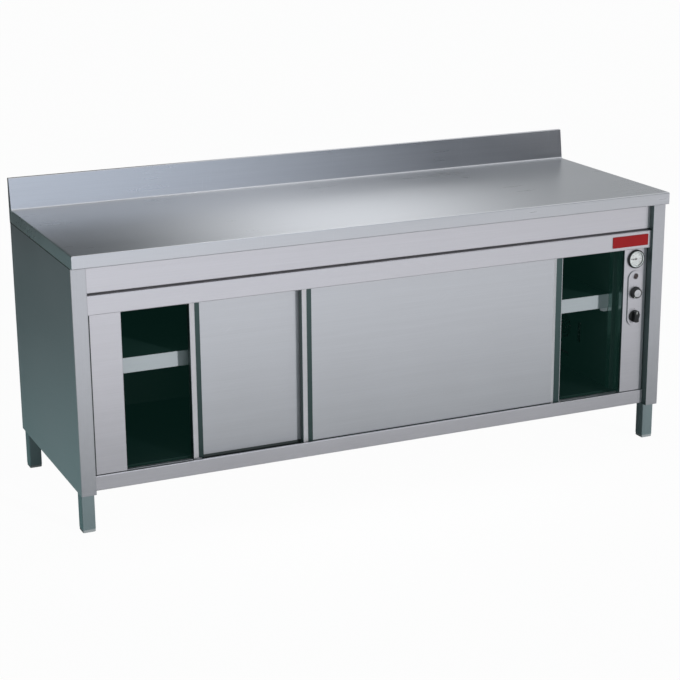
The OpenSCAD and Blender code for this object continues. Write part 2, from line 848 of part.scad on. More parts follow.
module fan_impeller() {
    plate = 2;
    blade_in = fan_r * 0.62;
    color("lightslategray") {
        on_x_axis(wheel_x0 + blade_h) cylinder(r = fan_r, h = plate);
        on_x_axis(wheel_x0 + 6) cylinder(r = hub_r, h = blade_h - 6 + plate);
        on_x_axis(wheel_x0 + blade_h) cylinder(d = shaft_d, h = motor_x0 + 18 - wheel_x0 - blade_h);
        for (k = [0 : blade_count - 1])
            on_x_axis(wheel_x0) rotate(360 * k / blade_count)
                translate([blade_in, 0, 0]) rotate(-25) translate([0, -0.75, 0])
                    cube([fan_r * 0.36, 1.5, blade_h + plate / 2]);
    }
}

module heating_element() {
    lead = motor_x0 + 14 - ring_x;
    color("dimgray") {
        on_x_axis(ring_x) rotate(15) rotate_extrude(angle = 330) translate([ring_r, 0]) circle(d = tube_d);
        for (angle = [15, -15])
            on_x_axis(ring_x) rotate(angle) translate([ring_r, 0, 0]) {
                sphere(d = tube_d);
                cylinder(d = tube_d, h = lead);
            }
    }
}

module terminal_block() {
    block = [30, 62, 22];
    color("ivory")
        translate([chamber_x0 + 14, inner_front + 50, floor_z + fit])
            difference() {
                cube(block);
                for (k = [0 : 4])
                    translate([block[0] / 2, 7 + 12 * k, block[2] - 6]) {
                        cylinder(d = 6, h = 7);
                        translate([-block[0], 0, -7]) rotate([0, 90, 0]) cylinder(d = 5, h = 2 * block[0]);
                    }
            }
}

module cable_gland() {
    nut = gland_d * 1.35;
    outside = back_recess - 4;
    color("dimgray")
        translate([hw - gland_in, back_face, gland_z]) rotate([-90, 0, 0])
            difference() {
                union() {
                    translate([0, 0, fit]) cylinder(d = nut, h = 6, $fn = 6);
                    translate([0, 0, 5]) rotate_extrude()
                        polygon([[0, 0], [gland_d / 2, 0], [gland_d / 2, outside - 9],
                                 [gland_d / 2 - 3, outside - 5], [0, outside - 5]]);
                    translate([0, 0, -sheet_t - 10]) cylinder(d = gland_d, h = 16);
                    translate([0, 0, -sheet_t - fit - 5]) cylinder(d = nut, h = 5, $fn = 6);
                }
                translate([0, 0, -sheet_t - 11]) cylinder(d = gland_bore, h = outside + sheet_t + 12);
            }
}

// Thermometer, as rings [radius, distance in front of the panel]

module gauge_ring(points) {
    on_front(control_x, panel_front, gauge_z) rotate_extrude() polygon(points);
}

module thermometer_case() {
    wall = 1.2;
    seat = case_r - 3;
    color("black")
        difference() {
            union() {
                gauge_ring([[0, -case_d], [case_r, -case_d], [case_r, case_rim], [case_r - wall, case_rim],
                            [case_r - wall, 0.2], [seat, 0.2], [seat, wall - case_d], [0, wall - case_d]]);
                gauge_ring([[0, wall / 2 - case_d], [8, wall / 2 - case_d], [8, -0.2], [0, -0.2]]);
            }
            on_front(control_x, panel_front + 12, gauge_z) cylinder(r = 1 + play, h = 14);
        }
}

module thermometer_bezel() {
    inner = case_r + fit;
    color("black")
        gauge_ring([[inner, fit], [bezel_r, fit], [bezel_r, bezel_h - 2.5], [bezel_r - 2, bezel_h],
                    [case_r - 1, bezel_h], [case_r - 2, bezel_h - 1], [case_r - 2, bezel_seat],
                    [inner, bezel_seat]]);
}

module thermometer_dial() {
    color("whitesmoke")
        gauge_ring([[1.4, 0.4], [case_r - 1.5, 0.4], [case_r - 1.5, 1.2], [1.4, 1.2]]);
}

module thermometer_needle() {
    color("black") {
        on_front(control_x, panel_front, gauge_z) {
            translate([0, 0, 2]) linear_extrude(0.7)
                polygon([[-needle_l, 0.3], [-needle_l, -0.3], [0, -1], [6, -0.8], [6, 0.8], [0, 1]]);
            translate([0, 0, 1.8]) cylinder(r = 2.4, h = 1.2);
            translate([0, 0, -10]) cylinder(r = 1, h = 12.5);
        }
    }
}

module thermometer_glass() {
    color("lightcyan") gauge_ring([[0, glass_z], [case_r - 0.4, glass_z], [case_r - 0.4, glass_z + glass_t],
                                    [0, glass_z + glass_t]]);
}

// Control plate and its controls

module stadium(w, h) {
    for (end = [w / 2, h - w / 2])
        translate([0, end]) circle(d = w);
    translate([-w / 2, w / 2]) square([w, h - w]);
}

module control_plate() {
    face = 1;
    color("gainsboro")
        on_front(control_x, panel_front, plate_z)
            difference() {
                union() {
                    linear_extrude(plate_t - face) stadium(plate_w, plate_h);
                    translate([0, face, 0])
                        linear_extrude(plate_t) stadium(plate_w - 2 * face, plate_h - 2 * face);
                }
                for (hole = [[lamp_z, lamp_body_d / 2], [thermostat_z, bush_d / 2], [switch_z, bush_d / 2]])
                    translate([0, hole[0] - plate_z, -1]) cylinder(r = hole[1] + fit, h = plate_t + 2);
            }
}

module pilot_lamp() {
    r = lamp_d / 2;
    color("indianred")
        on_front(control_x, plate_front, lamp_z) {
            rotate_extrude() polygon(concat(
                [[0, fit], [r, fit], [r, 1.6], [r - 1.6, 2.4]],
                [for (k = [0 : 6]) [(r - 2) * cos(15 * k), 2.4 + 2.6 * sin(15 * k)]]));
            translate([0, 0, -24]) cylinder(d = lamp_body_d, h = 25);
        }
}

// Body behind the panel with a bush that carries a spindle
module control_body(z, h) {
    back = panel_front + sheet_t + fit;
    difference() {
        union() {
            translate([control_x - switch_body_w / 2, back, z - h / 2])
                cube([switch_body_w, switch_body_d, h]);
            on_front(control_x, back + 2, z) cylinder(d = bush_d, h = back + 2 - plate_front - 0.2);
        }
        on_front(control_x, back + 22, z) cylinder(d = spindle_d + 2 * play, h = 40);
    }
}

module thermostat_body() {
    color("beige") control_body(thermostat_z, switch_body_w);
}

module switch_body() {
    color("dimgray") control_body(switch_z, switch_body_w - 4);
}

module spindle() {
    translate([0, 0, -18]) cylinder(d = spindle_d, h = 20);
}

module thermostat_knob() {
    r = knob_d / 2;
    cap = cap_d / 2 + 0.1;
    color([0.08, 0.08, 0.08])
        on_front(control_x, knob_back, thermostat_z) {
            difference() {
                rotate_extrude()
                    polygon([[0, 0], [r - 0.5, 0], [r, 0.8], [r, 3.4], [r - 2.4, 5], [r - 3.4, knob_h - 1.2],
                             [r - 4.6, knob_h], [cap, knob_h], [cap, knob_h - 1.6], [0, knob_h - 1.6]]);
                for (k = [0 : 17])
                    rotate(20 * k + 10) translate([r - 1.6, 0, 5]) cylinder(r = 1.5, h = knob_h);
            }
            spindle();
        }
}

module thermostat_cap() {
    r = cap_d / 2;
    color("silver")
        on_front(control_x, knob_back - knob_h + 1.6, thermostat_z)
            rotate_extrude() polygon([[0, 0], [r, 0], [r, 1.2], [r - 0.5, 1.7], [0, 1.9]]);
}

module switch_knob() {
    r = knob_d / 2;
    color([0.08, 0.08, 0.08])
        on_front(control_x, knob_back, switch_z) {
            rotate_extrude()
                polygon([[0, 0], [r - 0.5, 0], [r, 0.8], [r, 3.8], [r - 1.2, 5.4], [0, 5.4]]);
            linear_extrude(knob_h) intersection() {
                circle(r - 0.6);
                square([grip_bar_w, knob_d], center = true);
            }
            spindle();
        }
}

// Doors, each with its left end at x and its face at y

module door_skin(x, y) {
    end = [[0, door_t], [0, 0], [grip_rim, 0], [grip_valley, grip_d], [grip_end, 0]];
    corners = concat([for (p = end) [door_w - p[0], p[1]]], backwards(end));
    path = [for (p = corners) [x + p[0], y + p[1], 1]];
    difference() {
        along_z(door_z0, door_z1 - door_z0, sheet_outline(path, door_sheet));
        guide_notch(x, y);
    }
}

// Room for the bottom guide through the lower ends of the finger grips
module guide_notch(x, y) {
    translate([x - 1, y + guide_side - guide_play, door_z0 - 1])
        cube([door_w + 2, guide_w + 2 * guide_play, guide_reach + guide_play + 1]);
}

module door_tray(x, y) {
    rim = (door_t - grip_d) / 2;
    in = door_sheet + fit;
    path = [[x + in, y + door_t - rim, 1], [x + in, y + door_t, 1], [x + door_w - in, y + door_t, 1],
            [x + door_w - in, y + door_t - rim, 1]];
    difference() {
        along_z(door_z0, door_z1 - door_z0, sheet_outline(path, door_sheet));
        guide_notch(x, y);
    }
}

// Folded edge at the top, folded edge around the guide at the bottom, and the insulation between them
module door_edges(x, y) {
    y0 = y + door_sheet + fit;
    y1 = y + door_t - door_sheet - fit;
    length = door_w - 2 * grip_zone;
    for (z = [door_z0, door_z1 - door_edge])
        along_x(x + grip_zone, length, sheet_outline(
            [[y0, z, 1], [y0, z + door_edge, 1], [y1, z + door_edge, 1], [y1, z, 1]], door_sheet));
    translate([x + grip_zone, y0, door_z0 + door_edge + fit])
        cube([length, y1 - y0, door_z1 - door_z0 - 2 * door_edge - 2 * fit]);
}

// Foot on the top of the door, upright plate and shouldered axle, twice
module door_hangers(x, y) {
    foot_y = door_t - 2 * (door_sheet + 1);
    for (end = [hanger_in, door_w - hanger_in])
        translate([x + end, y, 0]) {
            translate([-hanger_l / 2, door_sheet + 1, door_z1 + fit]) cube([hanger_l, foot_y, hanger_t]);
            translate([0, hanger_y, door_z1 + fit]) hanger_upright();
            translate([0, hanger_y + hanger_t / 2, roller_z]) rotate([-90, 0, 0]) {
                cylinder(d = axle_d, h = roller_y + roller_w + 0.5 - hanger_y - hanger_t / 2);
                cylinder(d = axle_d + 4, h = roller_y - fit - hanger_y - hanger_t / 2);
            }
        }
}

module hanger_upright() {
    w = upright_w / 2;
    h = roller_z + roller_r * 0.8 - door_z1 - fit;
    cut = roller_r * 0.6;
    along_y(0, hanger_t, [[-w, 0], [w, 0], [w, h - cut], [w - cut, h], [cut - w, h], [-w, h - cut]]);
}

module roller(x, y) {
    edge = 0.8;
    color("whitesmoke")
        translate([x, y + roller_y, roller_z]) rotate([-90, 0, 0]) rotate_extrude()
            polygon([[axle_d / 2 + play, 0], [roller_r - edge, 0], [roller_r, edge],
                     [roller_r, roller_w - edge], [roller_r - edge, roller_w],
                     [axle_d / 2 + play, roller_w]]);
}

module left_door_skin() { color("lightsteelblue") door_skin(left_door_x, rear_door_y); }
module left_door_tray() { color("silver") door_tray(left_door_x, rear_door_y); }
module left_door_edges() { color("khaki") door_edges(left_door_x, rear_door_y); }
module left_door_hangers() { color("dimgray") door_hangers(left_door_x, rear_door_y); }
module left_roller_a() { roller(left_door_x + hanger_in, rear_door_y); }
module left_roller_b() { roller(left_door_x + door_w - hanger_in, rear_door_y); }
module right_door_skin() { color("lightsteelblue") door_skin(right_door_x, front_door_y); }
module right_door_tray() { color("silver") door_tray(right_door_x, front_door_y); }
module right_door_edges() { color("khaki") door_edges(right_door_x, front_door_y); }
module right_door_hangers() { color("dimgray") door_hangers(right_door_x, front_door_y); }
module right_roller_a() { roller(right_door_x + hanger_in, front_door_y); }
module right_roller_b() { roller(right_door_x + door_w - hanger_in, front_door_y); }

worktop();
worktop_board();
corner_posts();
post_plugs();
left_side_panel();
right_side_panel();
back_panel();
bottom_rail();
door_trough();
base_pan();
floor_stiffeners();
upper_fascia();
door_header();
top_track();
track_stops();
bottom_guides();
left_infill_panel();
control_panel();
ceiling_panel();
left_liner();
rear_liner();
bay_partition();
insulation();
middle_shelf();
shelf_brackets();
fan_plate();
fan_motor();
fan_impeller();
heating_element();
terminal_block();
cable_gland();
thermometer_case();
thermometer_bezel();
thermometer_dial();
thermometer_needle();
thermometer_glass();
control_plate();
pilot_lamp();
thermostat_body();
thermostat_knob();
thermostat_cap();
switch_body();
switch_knob();
front_left_foot();
front_right_foot();
rear_left_foot();
rear_right_foot();
left_door_skin();
left_door_tray();
left_door_edges();
left_door_hangers();
left_roller_a();
left_roller_b();
right_door_skin();
right_door_tray();
right_door_edges();
right_door_hangers();
right_roller_a();
right_roller_b();
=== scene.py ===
import json
import math

import bmesh
import bpy
from mathutils import Matrix, Vector


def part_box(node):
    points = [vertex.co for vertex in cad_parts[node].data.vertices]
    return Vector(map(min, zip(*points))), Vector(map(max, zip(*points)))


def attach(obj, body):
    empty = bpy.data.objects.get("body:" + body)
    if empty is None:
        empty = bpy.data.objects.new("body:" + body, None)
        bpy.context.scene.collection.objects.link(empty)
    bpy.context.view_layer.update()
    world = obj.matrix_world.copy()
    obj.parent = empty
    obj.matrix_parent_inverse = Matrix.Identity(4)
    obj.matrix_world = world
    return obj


bl_info = {
    "name": "Hot cupboard finishes",
    "version": (1, 0, 0),
    "blender": (4, 5, 0),
    "location": "3D View > Sidebar > Hot cupboard",
    "description": "Finishes, small fittings and a studio for a steel hot cupboard",
    "category": "Object",
}

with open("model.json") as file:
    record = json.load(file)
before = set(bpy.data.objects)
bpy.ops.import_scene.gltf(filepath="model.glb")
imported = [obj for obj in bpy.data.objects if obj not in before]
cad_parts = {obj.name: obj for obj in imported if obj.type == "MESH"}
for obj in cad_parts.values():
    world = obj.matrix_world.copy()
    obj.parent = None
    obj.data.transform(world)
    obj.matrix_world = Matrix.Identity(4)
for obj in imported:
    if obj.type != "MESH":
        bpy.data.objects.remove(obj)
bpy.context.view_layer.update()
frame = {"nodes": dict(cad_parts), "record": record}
MM = 0.001
LEFT = Vector((-1, 0, 0))
RIGHT = Vector((1, 0, 0))
FRONT = Vector((0, -1, 0))
BACK = Vector((0, 1, 0))
UP = Vector((0, 0, 1))
UNTURNED = (0.0, 0.0, 0.0)
FACING_FRONT = (math.pi / 2, 0.0, 0.0)

# The thermometer's and the thermostat's scales, in degrees clockwise from the left
SCALE_START = -45.0
SCALE_SWEEP = 270.0
INK_THICKNESS = 0.12 * MM

NODES_OF_SLOT = {}
for part in frame["record"]["subparts"]:
    NODES_OF_SLOT.setdefault(part["material_slot"], []).append(part["node"])


# Settings that a user would change

def number(name, description, default, **kind):
    return bpy.props.FloatProperty(name=name, description=description, default=default, **kind)


def length(name, description, millimetres):
    return number(
        name, description, millimetres * MM, subtype="DISTANCE", unit="LENGTH", min=0.0)


def angle(name, description, degrees):
    return number(
        name, description, math.radians(degrees), subtype="ANGLE", unit="ROTATION")


def power(name, description, watts):
    return number(name, description, watts, subtype="POWER", unit="POWER", min=0.0)


def share(name, description, default):
    return number(name, description, default, subtype="FACTOR", min=0.0, max=1.0)


def triple(name, description, default, **kind):
    return bpy.props.FloatVectorProperty(
        name=name, description=description, default=default, size=3, **kind)


def colour(name, description, default):
    return triple(name, description, default, subtype="COLOR", min=0.0, max=1.0)


def spot(name, description, default):
    return triple(name, description, default, subtype="TRANSLATION", unit="LENGTH")


class CupboardSteel(bpy.types.PropertyGroup):
    """Colours and roughness of the sheet metal."""

    casing: colour("Casing", "Brushed stainless of the casing", (0.60, 0.59, 0.627))
    sides: colour("Sides", "Brushed stainless of the side panels", (0.50, 0.505, 0.535))
    # Painted shade: the corner posts are given a darker, bluer steel for the shade they stand in under
    # the casing
    legs: colour("Legs", "Duller stainless of the corner posts", (0.325, 0.405, 0.422))
    # Painted shade on the left-hand faces of the corner posts
    leg_sides: colour("Leg sides", "Left-hand faces of the corner posts", (0.255, 0.320, 0.335))
    worktop: colour("Worktop", "Brushed stainless of the worktop", (0.56, 0.57, 0.60))
    # Painted light: the worktop's left-hand faces are given a lighter, bluer steel
    worktop_sides: colour("Worktop sides", "Left-hand faces of the worktop", (0.70, 0.775, 0.80))
    doors: colour("Doors", "Brushed stainless of the sliding doors", (0.56, 0.57, 0.602))
    # Painted highlight on the right-hand slopes of the doors' grips, which the key lamp from the right
    # lights
    grips: colour("Grips", "Hand-polished outer slopes of the doors' grips", (0.82, 0.80, 0.84))
    # Painted shade on the left-hand faces of the folds, which the key lamp from the right leaves dark
    returns: colour("Returns", "Duller left-hand faces of the folds", (0.062, 0.100, 0.098))
    # Painted shade: the door trough is given near-black steel for the shade it lies in
    track: colour("Track", "Worn steel of the trough that the doors run in", (0.045, 0.052, 0.054))
    # The lining, rear, shelf, partition and floor colours are painted shade: near-black for the shade
    # inside the cupboard
    lining: colour("Lining", "Dark enamel of the warm compartment", (0.066, 0.098, 0.091))
    rear: colour("Rear", "Dark enamel of the compartment's rear wall", (0.030, 0.047, 0.044))
    lip: colour("Shelf lip", "Bare steel of the shelf's front lip", (0.385, 0.41, 0.435))
    shelf: colour("Shelf", "Dark enamel of the shelf behind its lip", (0.016, 0.036, 0.032))
    partition: colour("Partition", "Dark enamel of the wall by the controls", (0.020, 0.042, 0.037))
    polished: colour("Polished", "Polished steel of the wall by the controls", (0.36, 0.48, 0.45))
    floor: colour("Floor", "Dark enamel of the compartment floor", (0.005, 0.012, 0.011))
    zinc: colour("Zinc", "Zinc coating of the hidden sheet", (0.50, 0.52, 0.54))
    aluminium: colour("Aluminium", "Cast aluminium in the warm-air unit", (0.62, 0.63, 0.64))
    roughness: share("Roughness", "Roughness of the brushed steel", 0.33)
    worktop_roughness: share("Worktop roughness", "Roughness of the worktop", 0.30)
    track_roughness: share("Track roughness", "Roughness of the worn door trough", 0.5)


class CupboardFittings(bpy.types.PropertyGroup):
    """Colours and sizes of the small fittings."""

    plastic: colour("Black plastic", "Knobs and thermometer rim", (0.012, 0.013, 0.014))
    dial: colour("Dial", "Thermometer face", (0.62, 0.655, 0.655))
    badge: colour("Badge", "Enamel of the bare badge plate", (0.27, 0.008, 0.010))
    ink: colour("Ink", "Printed marks", (0.02, 0.02, 0.022))
    dial_ink: colour("Dial ink", "Paler marks on the thermometer face", (0.20, 0.21, 0.22))
    mark: colour("Pointer", "Pointer lines on the knobs", (0.80, 0.80, 0.78))
    hub: colour("Needle hub", "Enamel of the needle's hub", (0.020, 0.020, 0.022))
    lens: colour("Lamp lens", "Pilot lamp lens when unlit", (0.052, 0.039, 0.039))
    collar: colour("Lamp collar", "Chrome round the pilot lamp", (0.60, 0.61, 0.63))
    cap: colour("Knob cap", "Bright cap of the thermostat knob", (0.66, 0.67, 0.69))
    rivet: colour("Rivets", "Steel of the back panel's rivets", (0.58, 0.59, 0.61))
    seal: colour("Seals", "Rubber of the seals", (0.030, 0.036, 0.036))
    badge_length: length("Badge length", "Length of the badge plate", 135)
    badge_height: length("Badge height", "Height of the badge plate", 37)
    badge_thickness: length("Badge thickness", "Thickness of the badge plate", 2.0)
    badge_end: length("Badge end", "From the centre line to the badge's right end", 943)
    badge_middle: length("Badge middle", "From the floor to the middle of the badge", 693.5)
    bezel_ring: length("Bezel ring", "Radius of the white ring in the thermometer's bezel", 26.6)
    tick_radius: length("Tick radius", "Outer radius of the dial's ticks", 24)
    number_radius: length("Number radius", "Radius on which the dial's numbers stand", 16.6)
    rivet_radius: length("Rivet radius", "Radius of a rivet head", 4.2)


class CupboardStudio(bpy.types.PropertyGroup):
    """Camera, lamps, floor and sky."""

    place: spot("Camera place", "Where the camera stands", (-2.28686, -5.04814, 2.02749))
    pitch: angle("Pitch", "How far the camera looks up", -16.509)
    yaw: angle("Yaw", "How far the camera is turned to the left", -24.189)
    roll: angle("Roll", "How far the camera is rolled", -0.436)
    lens: number("Lens", "Focal length for a 36 mm frame", 93.61, unit="CAMERA")
    aim: spot("Aim", "What the key and fill lamps point at", (0.0, -0.3, 0.5))
    key: number("Key lamp", "Distant lamp in front to the right", 2.68, min=0.0)
    key_place: spot("Key place", "Where the key lamp shines from", (2.25, -5.2, 1.6))
    key_spread: angle("Key spread", "How soft the key lamp's shadows are", 3.5)
    fill: power("Fill lamp", "Weak soft lamp in front to the left", 10)
    fill_place: spot("Fill place", "Where the fill lamp stands", (-1.6, -4.9, 1.5))
    fill_size: length("Fill size", "Width of the fill lamp", 2600)
    top: power("Top lamp", "Soft lamp above the worktop", 78)
    top_place: spot("Top place", "Where the top lamp hangs", (-0.15, -0.15, 2.0))
    top_spread: angle("Top spread", "How wide the top lamp shines", 66)
    top_size: length("Top size", "Radius of the top lamp", 200)
    sky: colour("Sky", "Light from all round", (0.10, 0.145, 0.145))
    floor: colour("Floor", "Colour of the floor", (0.92, 0.92, 0.92))
    floor_glow: share("Floor white", "How much of the floor is plain white", 0.97)


# Nodes written as expressions

class Value:
    """An output socket. Arithmetic on it adds Math nodes."""

    def __init__(self, nodes, socket):
        self.nodes = nodes
        self.socket = socket

    def math(self, operation, left, right):
        return self.nodes.node("ShaderNodeMath", {"operation": operation}, {0: left, 1: right})

    def __add__(self, other):
        return self.math("ADD", self, other)

    def __radd__(self, other):
        return self.math("ADD", other, self)

    def __sub__(self, other):
        return self.math("SUBTRACT", self, other)

    def __rsub__(self, other):
        return self.math("SUBTRACT", other, self)

    def __mul__(self, other):
        return self.math("MULTIPLY", self, other)

    def __rmul__(self, other):
        return self.math("MULTIPLY", other, self)

    def swing(self, amount):
        """Noise from 0 to 1 turned into a swing of so much about 0."""
        return (self - 0.5) * amount


class Nodes:
    """A node tree, with one method that adds any node."""

    def __init__(self, tree):
        self.tree = tree

    def node(self, kind, settings=None, sockets=None, output=0):
        made = self.tree.nodes.new(kind)
        for name, value in (settings or {}).items():
            setattr(made, name, value)
        for key, value in (sockets or {}).items():
            self.join(value, made.inputs[key])
        return Value(self, made.outputs[output])

    def join(self, value, socket):
        if isinstance(value, Value):
            self.tree.links.new(value.socket, socket)
        elif socket.type == "RGBA" and len(value) == 3:
            socket.default_value = (*value, 1.0)
        else:
            socket.default_value = value

    def seen(self):
        """1 for what the camera, metal and glass look at, 0 for light that falls on things."""
        path = self.node("ShaderNodeLightPath").socket.node
        camera, glossy, through = [
            Value(self, path.outputs[f"Is {ray} Ray"]) for ray in ("Camera", "Glossy", "Transmission")]
        return self.node("ShaderNodeClamp", {}, {"Value": camera + glossy + through})

    def vector(self, operation, first, second, output=0):
        return self.node(
            "ShaderNodeVectorMath", {"operation": operation}, {0: first, 1: second}, output)

    def band(self, value, low, high, start=0.0, end=1.0):
        """A smooth step from start to end while value goes from low to high."""
        return self.node(
            "ShaderNodeMapRange", {"interpolation_type": "SMOOTHSTEP"},
            {"Value": value, "From Min": low, "From Max": high, "To Min": start, "To Max": end})

    def below(self, value, edge, blur):
        """1 where a value is below an edge and 0 beyond it, with a blur between."""
        return self.band(value, edge - blur, edge + blur, 1.0, 0.0)

    def shade(self, tint, tone):
        """A colour made lighter or darker by a value."""
        return self.node("ShaderNodeVectorMath", {"operation": "SCALE"}, {0: tint, "Scale": tone})

    def blend(self, factor, first, second):
        """From the first colour to the second."""
        return self.node(
            "ShaderNodeMix", {"data_type": "RGBA"}, {0: factor, 6: first, 7: second}, output=2)


class Finish(Nodes):
    """A material around a Principled shader, on Object coordinates."""

    def __init__(self, name, **constants):
        self.material = bpy.data.materials.new(name)
        self.material.use_nodes = True
        super().__init__(self.material.node_tree)
        self.shader = self.tree.nodes["Principled BSDF"]
        self.place = self.node("ShaderNodeTexCoord", output="Object")
        for socket, value in constants.items():
            self.set(socket.replace("_", " "), value)

    def set(self, socket, value):
        self.join(value, self.shader.inputs[socket])

    def surface(self, shader):
        self.tree.links.new(shader.socket, self.tree.nodes["Material Output"].inputs["Surface"])

    def along(self, axis):
        """How far a point lies along an axis, in metres."""
        return self.node("ShaderNodeSeparateXYZ", {}, {0: self.place}, output=axis)

    def looks(self, axis):
        """How far a face looks along an axis, from -1 to 1."""
        normal = self.node("ShaderNodeTexCoord", output="Normal")
        return self.node("ShaderNodeSeparateXYZ", {}, {0: normal}, output=axis)

    def sideways(self, way):
        """1 on the faces that look to the left, way -1, or to the right, way 1."""
        return self.band(self.looks("X") * way, 0.20, 0.40)

    def ends(self, axis):
        """1 on the faces across an axis."""
        look = self.looks(axis)
        return self.band(look * look, 0.5, 0.7)

    def noise(self, lumps, detail=2.0, roughness=0.5, place=None):
        """Cloudy noise with so many lumps to the metre, each way or along each axis."""
        stretch = (lumps,) * 3 if isinstance(lumps, float) else lumps
        spread = self.vector("MULTIPLY", place or self.place, stretch)
        return self.node(
            "ShaderNodeTexNoise", {},
            {"Vector": spread, "Scale": 1.0, "Detail": detail, "Roughness": roughness})

    def streaks(self, lie, across, along):
        """Noise drawn out along the axis lie, with so many lumps to the metre."""
        lumps = [across] * 3
        lumps["XYZ".index(lie)] = along
        return self.noise(lumps)

    def brushing(self, lie):
        """Fine brushed lines along an axis."""
        return self.streaks(lie, 900.0, 5.0)

    def scratches(self, axis, degrees, count):
        """Thin straight scratches in the plane across an axis."""
        turned = self.node(
            "ShaderNodeVectorRotate", {"rotation_type": "AXIS_ANGLE"},
            {"Vector": self.place, "Axis": axis, "Angle": math.radians(degrees)})
        lumps = [7.0, 7.0, 7.0]
        lumps[(axis.index(1) + 1) % 3] = count
        lines = self.noise(lumps, 1.0, 0.4, turned)
        patches = self.noise(11.0, 1.0)
        return self.band(lines, 0.66, 0.70) * self.band(patches, 0.50, 0.62)

    def cells(self, count):
        """Grains or chips, each with its own value from 0 to 1."""
        cells = self.node(
            "ShaderNodeTexVoronoi", {}, {"Vector": self.place, "Scale": count}, output="Color")
        return self.node("ShaderNodeSeparateColor", {}, {0: cells})

    def bump(self, height, strength, distance):
        self.set("Normal", self.node(
            "ShaderNodeBump", {}, {"Height": height, "Strength": strength, "Distance": distance}))


# Finishes

ACROSS_X, ACROSS_Y, ACROSS_Z = (1, 0, 0), (0, 1, 0), (0, 0, 1)

# A painted glow on the compartment's surfaces that stands in for the dim light bouncing about in it
BOUNCE_GLOW = {"Emission_Color": (0.0016, 0.0080, 0.0062), "Emission_Strength": 1.0}

# Moulded or painted pieces: finish, colour, roughness and material slot
HIDDEN_PLASTICS = (
    ("motor_paint", (0.05, 0.055, 0.06), 0.45, "motor"),
    ("ivory_plastic", (0.62, 0.56, 0.42), 0.40, "ivory_plastic"),
    ("grey_plastic", (0.16, 0.17, 0.18), 0.45, "grey_plastic"),
)
FITTING_PLASTICS = (
    ("rubber", (0.018, 0.018, 0.018), 0.70, "rubber"),
    ("black_nylon", (0.016, 0.017, 0.018), 0.48, "black_nylon"),
    ("white_nylon", (0.70, 0.70, 0.66), 0.42, "white_nylon"),
    ("foot_plastic", (0.30, 0.32, 0.33), 0.50, "foot_plastic"),
)


def brushed_steel(
        name, tint, roughness, lie, across, metallic=0.6,
        returns=None, right_highlight=None, mirror_above=None):
    """Stainless sheet brushed along the axis lie, with cleaning marks and fine scratches.

    The colour for the left-hand faces of the folds is painted on them, as painted shade and on the
    worktop as painted light;
    the colour for the right-hand faces is a painted highlight; mirror_above is the height from which
    the sheet is more mirror-like."""
    steel = Finish(name, Metallic=metallic)
    ends = steel.ends(lie)
    along, turned = steel.brushing(lie), steel.brushing({"X": "Y", "Y": "Z", "Z": "X"}[lie])
    grain = along * (1.0 - ends) + turned * ends
    streak = steel.streaks(lie, 70.0, 0.9)
    cloud = steel.noise(2.6, 3.0)
    scratch = steel.scratches(across, 37.0, 520.0)
    # Painted shade or light on the faces that look left, and a painted highlight on the faces that
    # look right
    if returns:
        tint = steel.blend(steel.sideways(-1), tint, returns)
    if right_highlight:
        tint = steel.blend(steel.sideways(1), tint, right_highlight)
    tone = 1.0 + grain.swing(0.14) + streak.swing(0.07) + cloud.swing(0.08) + scratch * 0.05
    steel.set("Base Color", steel.shade(tint, tone))
    steel.set("Roughness", roughness + streak.swing(0.09) + cloud.swing(0.12) + scratch * 0.06)
    if mirror_above:
        steel.set("Metallic", steel.band(
            steel.along("Z"), mirror_above, mirror_above + 4 * MM, metallic, 0.96))
    steel.bump(grain + scratch * 0.5, 0.10, 0.3 * MM)
    return steel.material


def dusty(enamel, tint):
    """The noise of dust on dark enamel, and the colour under it."""
    dust = enamel.noise(6.0, 4.0)
    return dust, enamel.shade(tint, 0.7 + dust * 0.6)


def dark_enamel(name, tint):
    """Enamelled sheet in a colour painted dark for the compartment's shade, with a soft orange peel,
    dust and a painted glow for the dim light in the compartment.
    """
    enamel = Finish(name, Specular_IOR_Level=0.25, **BOUNCE_GLOW)
    dust, dusted = dusty(enamel, tint)
    enamel.set("Base Color", dusted)
    enamel.set("Roughness", 0.55 + dust * 0.2)
    enamel.bump(enamel.noise(420.0), 0.12, 0.3 * MM)
    return enamel.material


def partly_bare(name, tint, steel, edge, lie, metallic, roughness, relief, left_only=False):
    """Enamelled sheet painted dark for the compartment's shade, that is brushed steel in front of the
    edge.

    roughness is the enamel's, how much smoother the steel is, and the swing that dust gives.
    With left_only, only the faces that look square to the left are bare."""
    sheet = Finish(name, Specular_IOR_Level=0.25, **BOUNCE_GLOW)
    bare = sheet.below(sheet.along("Y"), edge, 0.1 * MM)
    if left_only:
        bare = sheet.below(sheet.looks("X"), -0.97, 0.02) * bare
    dust, dusted = dusty(sheet, tint)
    grain = sheet.brushing(lie)
    rough, smoother, uneven = roughness
    sheet.set("Base Color", sheet.blend(bare, dusted, sheet.shade(steel, 0.93 + grain * 0.14)))
    sheet.set("Metallic", bare * metallic)
    sheet.set("Roughness", rough - bare * smoother + dust.swing(uneven))
    sheet.bump(grain, relief, 0.3 * MM)
    return sheet.material


def lipped_shelf(name, tint, lip, edge):
    """Shelf in enamel painted dark for the compartment's shade, whose front lip, in front of the edge,
    is bright steel.
    """
    return partly_bare(name, tint, lip, edge, "X", 0.12, (0.60, 0.20, 0.15), 0.10)


def polished_wall(name, tint, mirror, edge):
    """Wall in enamel painted dark for the compartment's shade, whose left-hand face, in front of the
    edge, is polished steel.
    """
    return partly_bare(
        name, tint, mirror, edge, "Z", 0.95, (0.62, 0.44, 0.12), 0.06, left_only=True)


